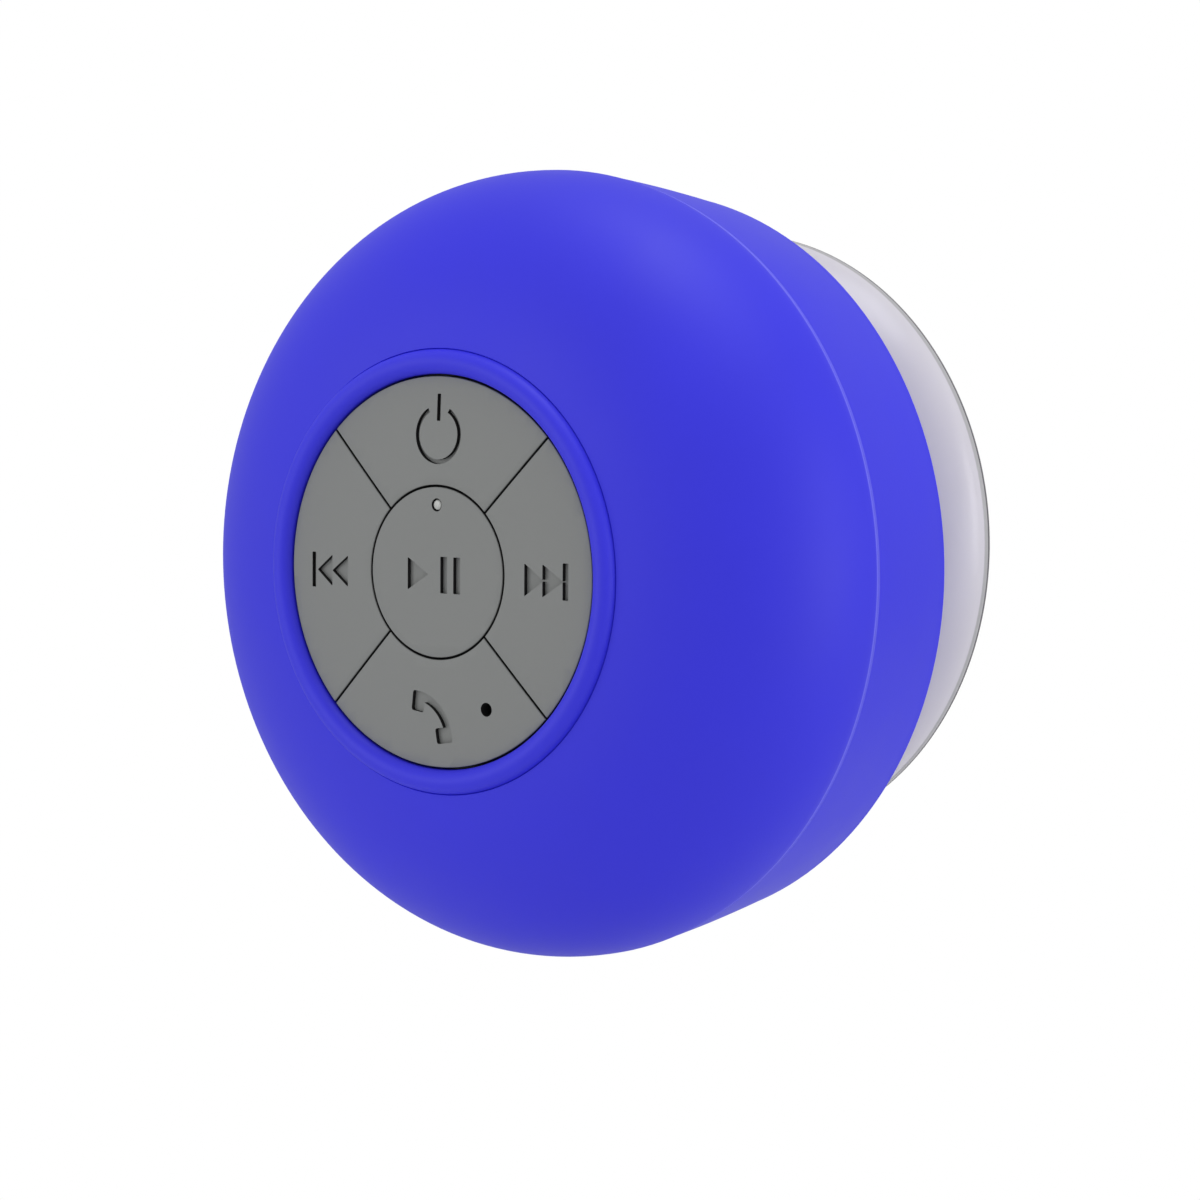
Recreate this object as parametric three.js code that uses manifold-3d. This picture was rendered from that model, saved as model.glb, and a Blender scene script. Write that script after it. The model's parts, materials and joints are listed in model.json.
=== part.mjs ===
// Shower speaker: a domed loudspeaker with a five-key panel, held on a wall or a mirror by a suction cup.
//
// Everything is drawn in one working frame, as the speaker is seen from the front: +X right, +Y up and +Z
// out of the wall, with Z = 0 on the wall. Outlines of turned pieces are lists of [radius, distance from the
// wall]. The group that is exported turns this frame to +Z up, with the front facing -Y and the origin in the
// middle of the overall depth, on the axis. All sizes are millimetres. A name that ends in Z is a distance
// from the wall, one that ends in R a radius and one that ends in T a thickness.
import * as THREE from "three";
import { mergeVertices } from "three/addons/utils/BufferGeometryUtils.js";
import Module from "manifold-3d";

// ---- Driving dimensions ----
const DEPTH = 55; // wall to the crest of the bead round the keys
const BODY_R = 43; // widest circle of the body
const WIDEST_Z = 34.4;
const SEAM_Z = 32.4; // front edge of the rear housing
const KEYPAD_R = 20.9;
const KEY_FACE_Z = DEPTH - 0.4;
const TOUCH_GAP = 0.05; // between pieces that rest on each other
const RUN_GAP = 0.15; // round the stud, which turns
const CLOSE_GAP = 0.3; // round a piece that moves in a pocket
const THROUGH = 1; // how far a cutting tool stands clear of what it cuts

// ---- Facets ----
const SHELL_SIDES = 36;
const KEY_SIDES = 32;
const DRIVER_SIDES = 20;
const MEMBRANE_SIDES = 24;
const SMALL_SIDES = 12;
const HOLE_SIDES = 8;

// ---- Suction cup, stud and clip ----
const CUP = { lipR: 34.3, lipT: 0.9, ringWidth: 2, hollowZ: 8, hubR: 11.5, hubZ: 17.2 };
const BOWL = { topZ: 13.4, power: 1.7 }; // superellipse quarter from the lip to the hub
const OFF_AXIS = { x: -0.5, y: 1.7, fromR: 12, toR: 28 }; // where the soft bowl leaves the stud's axis
const STUD = { r: 3.2, plateR: 7, plateZ: 9.5, plateT: 1.65, collarR: 5.5, collarZ: 17.3, collarT: 1.4 };
const SNAP = { grooveR: 2.4, backZ: 22.3, frontZ: 23.1, tipZ: 23.9, tipChamfer: 0.4 };
const CLIP = { innerR: 2.5, outerR: 5.2, backZ: 22.4, frontZ: 23, halfOpening: 28 };

// ---- Casing ----
const DOME = { flatR: 15.3, rise: 20.1, power: 2.18 }; // superellipse quarter from the widest circle
const COVER = { t: 1.5, edgeR: 42.75, edgeZ: SEAM_Z + CLOSE_GAP };
const BEAD = { outerR: 23.75, innerR: 21.15, footZ: 53.5, rootZ: 53.8 };
const FLOOR = { frontZ: 51.45, backZ: 49.95 }; // under the keypad
const COVER_UNDERSIDE_Z = FLOOR.frontZ + 0.95;
const FRONT_HOUSING = { t: 1.8, rimZ: SEAM_Z + 0.9, seamR: 39.65, pocketR: KEYPAD_R + 0.4 };
const POST = { screwR: 3, screwZ: 33.7, boardR: 2, boardTopZ: FLOOR.frontZ - 0.5 };
const SEAL = { innerR: 39.9, outerR: 41.2, backZ: SEAM_Z + 0.1, frontZ: SEAM_Z + 0.8 };
const BAND = { frontR: 42.85, middleR: 41.88, middleZ: 25.5, backR: 40.6, backZ: 18.6 };
const BACK_LIP = { height: 0.4, width: 1.4 };
const BACK_WALL = { outerZ: 19, innerZ: 21, recessR: 38.9, innerR: 38.2, taperZ: 30 };
const STUD_BOSS = { r: 6.5, z: 22 };
const SCREW_BOSS = { r: 3.4, frontZ: POST.screwZ - 0.2 };
const DRIVER_SEAT = { innerR: 18.3, outerR: 20.9, z: 24 };
const SLOTS = { count: 12, atR: 12.7, length: 8, width: 2, rounding: 0.98 };
const CLOTH = { innerR: 6.8, outerR: 17.9, backZ: 21.1, frontZ: 21.4 };
const PORT = { z: 25.5, width: 9, height: 3.6, plugR: 39.4, plugGap: 0.5, mouthR: 35, recessR: 38 };
const FLAP = { width: 13, height: 8, t: 1.2, anchorWidth: 3, slit: 0.1 };

// ---- Keys and what they press, front to back ----
const KEY = { t: 1.9, gap: 0.25, playR: 9.1, travel: 0.5, crown: 0.55, symbolDepth: 0.5 };
const KEY_PIN = { r: 1.5, root: 0.5 };
const KEY_BACK_Z = KEY_FACE_Z - KEY.t;
const OUTER_SWITCH_AT_R = 13.5;
const MEMBRANE = { backZ: 51.5, frontZ: 52.1, holeR: 1.9 };
const PLUNGER = { r: 1.6, backZ: 48.5, frontZ: 49.7 };
const SWITCH = { side: 5.2, frontZ: 49.15, boreR: 1.8, boreZ: PLUNGER.backZ - KEY.travel - 0.1 };
const BOARD = { r: 27, backZ: 46, frontZ: 47.2 };
const ON_BOARD_Z = BOARD.frontZ + TOUCH_GAP;
const CELL = { width: 30, height: 20, rounding: 2, backZ: 40.3, frontZ: 44.8 };
const CELL_PAD = { width: 26, height: 17 };
const CHIPS = [
  { name: "bluetooth_chip", at: [10.5, 10.5], width: 6, height: 6, t: 0.95 },
  { name: "amplifier_chip", at: [-10.5, 10.5], width: 5, height: 4, t: 1.35 },
];
const ANTENNA = { at: [-11, -18], width: 7, height: 2, t: 0.95 };
const LED = { at: [0, 7.2], width: 1.6, height: 0.9, t: 0.85 };
const LENS = { r: 0.6, holeR: 0.8, baseR: 1.4, backZ: 48.4, baseTopZ: 49.85, frontZ: KEY_FACE_Z - 0.1 };
const LEAD = { r: 0.45, endZ: BOARD.backZ - 0.5, steps: 8 };
const SOCKET = { width: 7.4, height: 2.6, backR: 33.4, mouthR: 38.6, wallT: 0.4, bottomR: 34.6 };
const CHARGE_BOARD = { width: 12, t: 1, innerR: 31, outerR: 38.5 };
const RIBBON = { width: 4, t: 0.3, endZ: BOARD.backZ - 0.4 };
const MICROPHONE_AT = [6.8, -14.3];
const MICROPHONE = { r: 2, frontZ: 48.8, holeR: 0.75, bootR: 2.7, bootZ: 49.85 };

// ---- Loudspeaker, which faces the wall; names that end in Up are heights above its rim ----
const RIM_Z = 24.9;
const GASKET = { innerR: 18.4, outerR: 20.4, backZ: DRIVER_SEAT.z + 0.1, frontZ: RIM_Z - 0.1 };
const BASKET = { mouthR: 17, rimR: 20.5, shoulderR: 15.2, floorR: 12.2, floorUp: 8, holeR: 8, t: 0.8 };
const SURROUND = { outerR: 18.2, footR: 17.3, rollR: 16.2, coneR: 14.9, innerR: 14.2, t: 0.4 };
const CONE = { rimR: 14.6, seatR: 13.6, rimUp: 0.2, neckR: 6.4, neckUp: 4.6, t: 0.5 };
const DUST_CAP = { r: 6.1, edgeUp: 3.9, middleR: 3.5, middleUp: 2.7, topUp: 2.2, t: 0.4 };
const SPIDER = { innerR: 6.5, outerR: 13.6, up: 5.7, folds: 5, halfWave: 0.35, t: 0.35 };
const COIL = { innerR: 5.75, outerR: 6.15, backZ: RIM_Z + 4.4, frontZ: RIM_Z + 11.4 };
const MAGNET = { innerR: 8.5, outerR: 14, backZ: RIM_Z + 9.65, frontZ: RIM_Z + 13 };
const TOP_PLATE = { innerR: 6.75, outerR: 12.5, backZ: RIM_Z + 8.1, frontZ: RIM_Z + 9.6 };
const YOKE = { plateR: 13, poleR: 5.4, poleZ: RIM_Z + 8, plateZ: RIM_Z + 13.05, frontZ: RIM_Z + 14.6 };

// ---- Fasteners ----
const HOUSING_SCREW = {
  angles: [45, 135, 225, 315],
  atR: 33,
  headR: 2.5,
  headZ: 19.4,
  headT: 1.2,
  shankR: 1.25,
  length: 20,
};
const BOARD_SCREW = {
  angles: [60, 180, 300],
  atR: 24.5,
  headR: 1.9,
  headZ: 44.95,
  headT: 1,
  shankR: 0.95,
  length: 3.6,
};
const PILOT_GAP = 0.1;
const HOLE_GAP = 0.25;
const RECESS = { width: 0.5, lengthShare: 1.3 }; // the cross in a head, its length as a share of the radius

const rad = THREE.MathUtils.degToRad;
const wasm = await Module();
wasm.setup();

// ---- Materials ----
const finish = (color, roughness, metalness = 0) => () =>
  new THREE.MeshStandardMaterial({ color, roughness, metalness });
const blueSilicone = finish(0x3f3be8, 0.55);
const bluePlastic = finish(0x3a35e2, 0.5);
const greyRubber = finish(0x828483, 0.6);
const cupRubber = finish(0xc7c5d0, 0.4);
const darkRubber = finish(0x1d1e20, 0.8);
const innerPlastic = finish(0x2a2c30, 0.6);
const clearPlastic = finish(0xe6e8ea, 0.2);
const steel = finish(0xa9adb2, 0.35, 1);
const ferrite = finish(0x2b2b2d, 0.7);
const paper = finish(0x202124, 0.9);
const copper = finish(0xb87333, 0.4, 1);
const boardGreen = finish(0x14532d, 0.5);
const chipBlack = finish(0x161718, 0.4);
const foil = finish(0xc9ccd0, 0.3, 1);
const foam = finish(0x303236, 0.95);
const redWire = finish(0xb3201c, 0.5);
const blackWire = finish(0x151515, 0.5);
const ivory = finish(0xe4dfcc, 0.6);

// ---- Shape helpers ----

// A closed BufferGeometry as a manifold solid.
function solid(geometry) {
  const bare = new THREE.BufferGeometry();
  const flat = geometry.index ? geometry.toNonIndexed() : geometry;
  bare.setAttribute("position", flat.getAttribute("position"));
  const merged = mergeVertices(bare, 1e-4);
  const triVerts = new Uint32Array(merged.index.array);
  const vertProperties = merged.attributes.position.array;
  return new wasm.Manifold(new wasm.Mesh({ numProp: 3, vertProperties, triVerts }));
}

// The manifold solid as a BufferGeometry again.
function geometryOf(manifold) {
  const made = manifold.getMesh();
  const positions = new Float32Array(made.numVert * 3);
  for (let i = 0; i < made.numVert; i++) {
    const start = i * made.numProp;
    positions.set(made.vertProperties.subarray(start, start + 3), i * 3);
  }
  const geometry = new THREE.BufferGeometry();
  geometry.setAttribute("position", new THREE.BufferAttribute(positions, 3));
  geometry.setIndex(new THREE.BufferAttribute(made.triVerts, 1));
  geometry.computeVertexNormals();
  return geometry;
}

const joined = (first, others) =>
  geometryOf(others.reduce((sum, other) => sum.add(solid(other)), solid(first)));
const cut = (first, tools) =>
  geometryOf(tools.reduce((rest, tool) => rest.subtract(solid(tool)), solid(first)));
const shared = (first, second) => geometryOf(solid(first).intersect(solid(second)));

// A solid turned about the speaker's axis. An outline that starts on the axis has to end on it.
function turned(outline, sides = SHELL_SIDES) {
  const points = outline.map(([r, z]) => new THREE.Vector2(r, z));
  if (THREE.ShapeUtils.area(points) < 0) points.reverse();
  const touchesAxis = points[0].x === 0 && points.at(-1).x === 0;
  if (!touchesAxis) points.push(points[0].clone());
  return new THREE.LatheGeometry(points, sides).rotateX(Math.PI / 2);
}

function ring(innerR, outerR, backZ, frontZ, sides) {
  return turned([[innerR, backZ], [outerR, backZ], [outerR, frontZ], [innerR, frontZ]], sides);
}

const disc = (r, backZ, frontZ, sides) => turned([[0, backZ], [r, backZ], [r, frontZ], [0, frontZ]], sides);

const rod = ([x, y], r, backZ, frontZ, sides = SMALL_SIDES) =>
  disc(r, backZ, frontZ, sides).translate(x, y, 0);

// A flat shape as seen from the front, extruded towards the front.
function plate(shape, backZ, frontZ, curveSegments = 3) {
  const settings = { depth: frontZ - backZ, bevelEnabled: false, curveSegments };
  return new THREE.ExtrudeGeometry(shape, settings).translate(0, 0, backZ);
}

function block([x, y], width, height, backZ, frontZ) {
  return new THREE.BoxGeometry(width, height, frontZ - backZ).translate(x, y, (backZ + frontZ) / 2);
}

const polygon = (points) => new THREE.Shape(points.map(([x, y]) => new THREE.Vector2(x, y)));

function roundedRectangle(width, height, rounding) {
  const [x, y] = [width / 2 - rounding, height / 2 - rounding];
  const shape = new THREE.Shape();
  shape.absarc(x, y, rounding, 0, rad(90));
  shape.absarc(-x, y, rounding, rad(90), rad(180));
  shape.absarc(-x, -y, rounding, rad(180), rad(270));
  shape.absarc(x, -y, rounding, rad(270), rad(360));
  return shape;
}

const polar = (r, degrees) => [r * Math.cos(rad(degrees)), r * Math.sin(rad(degrees))];

function arcPoints([x, y], r, from, to, steps) {
  return Array.from({ length: steps + 1 }, (_, i) => {
    const [dx, dy] = polar(r, from + ((to - from) * i) / steps);
    return [x + dx, y + dy];
  });
}

// Points of a quarter superellipse about (r, z), from its widest point to its top.
function quarter(r, z, width, rise, power, steps, last = Math.PI / 2) {
  return Array.from({ length: steps + 1 }, (_, i) => {
    const t = (last * i) / steps;
    return [r + width * Math.cos(t) ** (2 / power), z + rise * Math.sin(t) ** (2 / power)];
  });
}

// A wire or a ribbon: a cross-section swept through the points.
function swept(section, points, steps) {
  const extrudePath = new THREE.CatmullRomCurve3(points.map((p) => new THREE.Vector3(...p)));
  return new THREE.ExtrudeGeometry(section, { steps, bevelEnabled: false, extrudePath, curveSegments: 3 });
}

function node(name, geometry, material) {
  const made = new THREE.Mesh(geometry, material());
  made.name = name;
  return made;
}

// ---- Suction cup, stud and clip: these stay on the wall ----

// The bowl is soft: its lip sits a little off the stud's axis, and its hub on it.
function bentOffAxis(geometry) {
  const position = geometry.getAttribute("position");
  for (let i = 0; i < position.count; i++) {
    const [x, y] = [position.getX(i), position.getY(i)];
    const share = THREE.MathUtils.smoothstep(Math.hypot(x, y), OFF_AXIS.fromR, OFF_AXIS.toR);
    position.setXY(i, x + OFF_AXIS.x * share, y + OFF_AXIS.y * share);
  }
  return geometry;
}

function suctionCup() {
  const bowl = quarter(CUP.hubR, CUP.lipT, CUP.lipR - CUP.hubR, BOWL.topZ - CUP.lipT, BOWL.power, 5);
  const hollow = quarter(0, 0, CUP.lipR - CUP.ringWidth, CUP.hollowZ, 2, 4);
  const neckR = STUD.r + RUN_GAP;
  const pocketR = STUD.plateR + RUN_GAP;
  const pocketTopZ = STUD.plateZ + STUD.plateT + RUN_GAP;
  const cup = turned([
    [CUP.lipR, 0],
    ...bowl,
    [CUP.hubR, CUP.hubZ],
    [neckR, CUP.hubZ],
    [neckR, pocketTopZ],
    [pocketR, pocketTopZ],
    [pocketR, STUD.plateZ - RUN_GAP],
    [0, STUD.plateZ - RUN_GAP],
    ...hollow.toReversed(),
  ]);
  return bentOffAxis(cup);
}

// The stud: its plate is moulded into the cup, its collar backs the speaker and its tip takes the clip.
function cupStud() {
  const plateTopZ = STUD.plateZ + STUD.plateT;
  const collarTopZ = STUD.collarZ + STUD.collarT;
  const outline = [
    [0, STUD.plateZ],
    [STUD.plateR, STUD.plateZ],
    [STUD.plateR, plateTopZ],
    [STUD.r, plateTopZ],
    [STUD.r, STUD.collarZ],
    [STUD.collarR, STUD.collarZ],
    [STUD.collarR, collarTopZ],
    [STUD.r, collarTopZ],
    [STUD.r, SNAP.backZ],
    [SNAP.grooveR, SNAP.backZ],
    [SNAP.grooveR, SNAP.frontZ],
    [STUD.r, SNAP.frontZ],
    [STUD.r - SNAP.tipChamfer, SNAP.tipZ],
    [0, SNAP.tipZ],
  ];
  return turned(outline, DRIVER_SIDES);
}

function cupClip() {
  const [start, end] = [rad(CLIP.halfOpening), rad(360 - CLIP.halfOpening)];
  const shape = new THREE.Shape();
  shape.absarc(0, 0, CLIP.outerR, start, end, false);
  shape.absarc(0, 0, CLIP.innerR, end, start, true);
  return plate(shape, CLIP.backZ, CLIP.frontZ, SMALL_SIDES);
}

// ---- Casing ----

// Points of the dome, moved inwards by inset, from its widest circle to the height topZ.
function domeCurve(inset, topZ, steps) {
  const rise = DOME.rise - inset;
  const last = Math.asin(((topZ - WIDEST_Z) / rise) ** (DOME.power / 2));
  return quarter(DOME.flatR, WIDEST_Z, BODY_R - DOME.flatR - inset, rise, DOME.power, steps, last);
}

function domeZ(r) {
  const share = (r - DOME.flatR) / (BODY_R - DOME.flatR);
  return WIDEST_Z + DOME.rise * (1 - share ** DOME.power) ** (1 / DOME.power);
}

// The cover's inside, which the front housing follows.
const coverInside = () => domeCurve(COVER.t, COVER_UNDERSIDE_Z, 5);

function frontCover() {
  const halfWidth = (BEAD.outerR - BEAD.innerR) / 2;
  const crest = [BEAD.innerR + halfWidth, DEPTH];
  const [outerAngle, innerAngle] = [27, 158];
  const bead = arcPoints([0, 0], 1, outerAngle, innerAngle, 4).map(([across, up]) => [
    crest[0] + halfWidth * across,
    BEAD.rootZ + (DEPTH - BEAD.rootZ) * up,
  ]);
  return turned([
    [COVER.edgeR, COVER.edgeZ],
    ...domeCurve(0, domeZ(BEAD.outerR), 8),
    ...bead.slice(0, 2),
    crest,
    ...bead.slice(3),
    [BEAD.innerR, BEAD.footZ],
    [BEAD.innerR, COVER_UNDERSIDE_Z],
    ...coverInside().toReversed(),
    [BODY_R - COVER.t, COVER.edgeZ],
  ]);
}

// A turned outline of the front housing's outside, filled down to its rim.
function frontHousingOutside() {
  const outside = coverInside().map(([r, z]) => [r - TOUCH_GAP, z - TOUCH_GAP]);
  return [[BODY_R - COVER.t - TOUCH_GAP, FRONT_HOUSING.rimZ], ...outside];
}

function frontHousing() {
  const outside = frontHousingOutside();
  const topZ = outside.at(-1)[1];
  const shell = turned([
    [0, FLOOR.frontZ],
    [FRONT_HOUSING.pocketR, FLOOR.frontZ],
    [FRONT_HOUSING.pocketR, topZ],
    ...outside.toReversed(),
    [FRONT_HOUSING.seamR, FRONT_HOUSING.rimZ],
    ...domeCurve(COVER.t + TOUCH_GAP + FRONT_HOUSING.t, FLOOR.backZ, 3),
    [0, FLOOR.backZ],
  ]);
  const filled = turned([[0, FRONT_HOUSING.rimZ], ...outside, [0, topZ]]);
  const screwPlaces = HOUSING_SCREW.angles.map((a) => polar(HOUSING_SCREW.atR, a));
  const boardPlaces = BOARD_SCREW.angles.map((a) => polar(BOARD_SCREW.atR, a));
  const screwEndZ = HOUSING_SCREW.headZ + HOUSING_SCREW.headT + HOUSING_SCREW.length;
  const posts = [
    ...screwPlaces.map((at) => shared(rod(at, POST.screwR, POST.screwZ, topZ), filled)),
    ...boardPlaces.map((at) => rod(at, POST.boardR, ON_BOARD_Z, POST.boardTopZ)),
  ];
  const [screwPilotR, boardPilotR] = [HOUSING_SCREW.shankR + PILOT_GAP, BOARD_SCREW.shankR + PILOT_GAP];
  const [toolBackZ, toolFrontZ] = [FLOOR.backZ - THROUGH, FLOOR.frontZ + THROUGH];
  const holes = [
    ...screwPlaces.map((at) => rod(at, screwPilotR, POST.screwZ - THROUGH, screwEndZ + THROUGH)),
    ...boardPlaces.map((at) => rod(at, boardPilotR, ON_BOARD_Z - THROUGH, FLOOR.backZ - TOUCH_GAP)),
    ...KEYS.map(({ at }) => rod(at, PLUNGER.r + 2 * CLOSE_GAP, toolBackZ, toolFrontZ)),
    rod(LED.at, LENS.r + CLOSE_GAP, toolBackZ, toolFrontZ, HOLE_SIDES),
    rod(MICROPHONE_AT, MICROPHONE.holeR + HOLE_GAP, toolBackZ, toolFrontZ, HOLE_SIDES),
  ];
  return cut(joined(shell, posts), holes);
}

// Radius of the band's outside: two tapers that meet at its middle.
function bandR(z) {
  const behind = z < BAND.middleZ;
  const [fromR, fromZ] = behind ? [BAND.backR, BAND.backZ] : [BAND.middleR, BAND.middleZ];
  const [toR, toZ] = behind ? [BAND.middleR, BAND.middleZ] : [BAND.frontR, SEAM_Z];
  return fromR + ((toR - fromR) * (z - fromZ)) / (toZ - fromZ);
}

// A box that stands across the band at its lowest point, where the charging port is.
function portBox(fromX, toX, height, innerR, outerR) {
  const box = new THREE.BoxGeometry(toX - fromX, outerR - innerR, height);
  return box.translate((fromX + toX) / 2, -(innerR + outerR) / 2, PORT.z);
}

// The band near the port, from depth inner to depth outer below its outside.
function bandSkin(outer, inner) {
  const heights = [BAND.backZ, BAND.middleZ, SEAM_Z - TOUCH_GAP];
  const outside = heights.map((z) => [bandR(z) - outer, z]);
  const inside = heights.map((z) => [bandR(z) - inner, z]);
  return turned([...outside, ...inside.toReversed()]);
}

function rearHousing() {
  const wall = BACK_WALL;
  const shell = turned([
    [BAND.frontR, SEAM_Z],
    [BAND.middleR, BAND.middleZ],
    [BAND.backR, BAND.backZ],
    [BAND.backR - BACK_LIP.height, BAND.backZ - BACK_LIP.height],
    [BAND.backR - BACK_LIP.width, BAND.backZ - BACK_LIP.height],
    [wall.recessR, wall.outerZ],
    [STUD.r + RUN_GAP, wall.outerZ],
    [STUD.r + RUN_GAP, STUD_BOSS.z],
    [STUD_BOSS.r, STUD_BOSS.z],
    [STUD_BOSS.r, wall.innerZ],
    [DRIVER_SEAT.innerR, wall.innerZ],
    [DRIVER_SEAT.innerR, DRIVER_SEAT.z],
    [DRIVER_SEAT.outerR, DRIVER_SEAT.z],
    [DRIVER_SEAT.outerR, wall.innerZ],
    [wall.innerR, wall.innerZ],
    [FRONT_HOUSING.seamR, wall.taperZ],
    [FRONT_HOUSING.seamR, SEAM_Z],
  ]);
  const screwPlaces = HOUSING_SCREW.angles.map((a) => polar(HOUSING_SCREW.atR, a));
  const middleZ = (wall.outerZ + wall.innerZ) / 2;
  const bosses = screwPlaces.map((at) => rod(at, SCREW_BOSS.r, middleZ, SCREW_BOSS.frontZ));
  const headPocketZ = HOUSING_SCREW.headZ + HOUSING_SCREW.headT + PILOT_GAP;
  const toolBackZ = wall.outerZ - THROUGH;
  const screwHoles = screwPlaces.flatMap((at) => [
    rod(at, HOUSING_SCREW.shankR + HOLE_GAP, toolBackZ, SCREW_BOSS.frontZ + THROUGH),
    rod(at, HOUSING_SCREW.headR + HOLE_GAP, toolBackZ, headPocketZ),
  ]);
  const slot = roundedRectangle(SLOTS.length, SLOTS.width, SLOTS.rounding);
  const slots = Array.from({ length: SLOTS.count }, (_, i) =>
    plate(slot, toolBackZ, wall.innerZ + THROUGH)
      .translate(SLOTS.atR, 0, 0)
      .rotateZ((2 * Math.PI * i) / SLOTS.count),
  );
  return cut(joined(shell, bosses), [...screwHoles, ...slots, ...portOpening()]);
}

// The recess that the flap lies in, and the mouth of the socket.
function portOpening() {
  const half = FLAP.width / 2 + CLOSE_GAP;
  const outerR = BODY_R + THROUGH;
  const patch = portBox(-half, half + FLAP.anchorWidth, FLAP.height + 2 * CLOSE_GAP, PORT.recessR, outerR);
  const recess = shared(patch, bandSkin(-2 * THROUGH, FLAP.t + RUN_GAP));
  const halfMouth = PORT.width / 2 + PORT.plugGap;
  const mouth = portBox(-halfMouth, halfMouth, PORT.height + 2 * PORT.plugGap, PORT.mouthR, outerR);
  return [recess, mouth];
}

// The lid with its plug, in soft rubber.
function portFlap() {
  const half = FLAP.width / 2;
  const lid = shared(portBox(-half, half, FLAP.height, PORT.recessR, BODY_R), bandSkin(0, FLAP.t));
  const plugTopR = BAND.middleR - FLAP.t / 2;
  return joined(lid, [portBox(-PORT.width / 2, PORT.width / 2, PORT.height, PORT.plugR, plugTopR)]);
}

// The fixed strip that the lid hangs on.
function flapAnchor() {
  const half = FLAP.width / 2;
  const strip = portBox(half + FLAP.slit, half + FLAP.anchorWidth, FLAP.height, PORT.recessR, BODY_R);
  return shared(strip, bandSkin(0, FLAP.t));
}

// ---- Keys ----

// A band of the given width along a line of [x, y] points, as a closed shape.
function stroke(points, width) {
  const across = points.map(([x, y], i) => {
    const [ax, ay] = points[Math.max(i - 1, 0)];
    const [bx, by] = points[Math.min(i + 1, points.length - 1)];
    const scale = width / 2 / Math.hypot(bx - ax, by - ay);
    return { x, y, dx: (ay - by) * scale, dy: (bx - ax) * scale };
  });
  const left = across.map(({ x, y, dx, dy }) => [x + dx, y + dy]);
  const right = across.map(({ x, y, dx, dy }) => [x - dx, y - dy]);
  return polygon([...right, ...left.toReversed()]);
}

// A rectangle, from the middle of its left side.
function bar(leftX, y, width, height) {
  const [low, high, rightX] = [y - height / 2, y + height / 2, leftX + width];
  return polygon([[leftX, low], [rightX, low], [rightX, high], [leftX, high]]);
}

// A triangle of the transport symbols. A positive width points right and a negative one left.
function triangle(baseX, y, width, height) {
  const points = [[baseX, y - height / 2], [baseX + width, y], [baseX, y + height / 2]];
  return polygon(width > 0 ? points : points.toReversed());
}

// An open ring with a line standing in its gap.
function powerSymbol() {
  const [centreY, r, lineWidth, halfGap] = [14.7, 2.9, 0.5, 28];
  const opened = arcPoints([0, centreY], r, 90 + halfGap, 450 - halfGap, 12);
  return [stroke(opened, lineWidth), bar(-lineWidth / 2, centreY + r, lineWidth, r)];
}

function playSymbol() {
  const [y, height, barWidth] = [-0.25, 3.5, 0.95];
  return [triangle(-4, y, 2.9, height), bar(0.6, y, barWidth, 3.9), bar(2.4, y, barWidth, 3.9)];
}

// Two triangles that meet, and a bar at the tip of the second.
function nextSymbol() {
  const [y, height, barWidth] = [-0.25, 3.5, 0.75];
  return [triangle(12.05, y, 2.55, height), triangle(14.45, y, 2.75, height), bar(17.1, y, barWidth, 3.9)];
}

function previousSymbol() {
  const [y, height, barWidth] = [-0.45, 3.4, 0.55];
  return [triangle(-12.7, y, -2.3, height), triangle(-15, y, -2.2, height), bar(-18, y, barWidth, 3.8)];
}

// A telephone handset: a curved handle with an earpiece at each end.
function callSymbol() {
  const centre = [-3.2, -18];
  const [handleR, handleWidth, earR, earHeight, earWidth] = [4.7, 1, 4.1, 1.1, 0.85];
  const [lowAngle, highAngle] = [8, 82];
  const ears = [lowAngle, highAngle].map((a) => {
    const [ux, uy] = polar(1, a);
    const corner = (s, t) => [
      centre[0] + ux * (earR + earHeight * s) - uy * earWidth * t,
      centre[1] + uy * (earR + earHeight * s) + ux * earWidth * t,
    ];
    return polygon([corner(-1, -1), corner(1, -1), corner(1, 1), corner(-1, 1)]);
  });
  return [stroke(arcPoints(centre, handleR, lowAngle, highAngle, 6), handleWidth), ...ears];
}

// Holes through the keys, each a place and a radius.
const LENS_HOLE = [LED.at, LENS.holeR];
const MICROPHONE_HOLE = [MICROPHONE_AT, MICROPHONE.holeR];

const KEYS = [
  { name: "play", at: [0, 0], symbol: playSymbol(), hole: LENS_HOLE },
  { name: "power", at: [0, OUTER_SWITCH_AT_R], facing: 90, symbol: powerSymbol() },
  { name: "next", at: [OUTER_SWITCH_AT_R, 0], facing: 0, symbol: nextSymbol() },
  { name: "previous", at: [-OUTER_SWITCH_AT_R, 0], facing: 180, symbol: previousSymbol() },
  { name: "call", at: [0, -OUTER_SWITCH_AT_R], facing: 270, symbol: callSymbol(), hole: MICROPHONE_HOLE },
];

// A quarter of the key ring, with its two straight sides parallel to the diagonals.
function quarterKey(facing) {
  const innerR = KEY.playR + KEY.gap;
  const halfAngle = (r) => 45 - THREE.MathUtils.radToDeg(Math.asin(KEY.gap / 2 / r));
  const [outer, inner] = [halfAngle(KEYPAD_R), halfAngle(innerR)];
  return polygon([
    ...arcPoints([0, 0], KEYPAD_R, facing - outer, facing + outer, 10),
    ...arcPoints([0, 0], innerR, facing + inner, facing - inner, 6),
  ]);
}

const roundKey = () => polygon(arcPoints([0, 0], KEY.playR, 0, 360, KEY_SIDES).slice(1));

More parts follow.
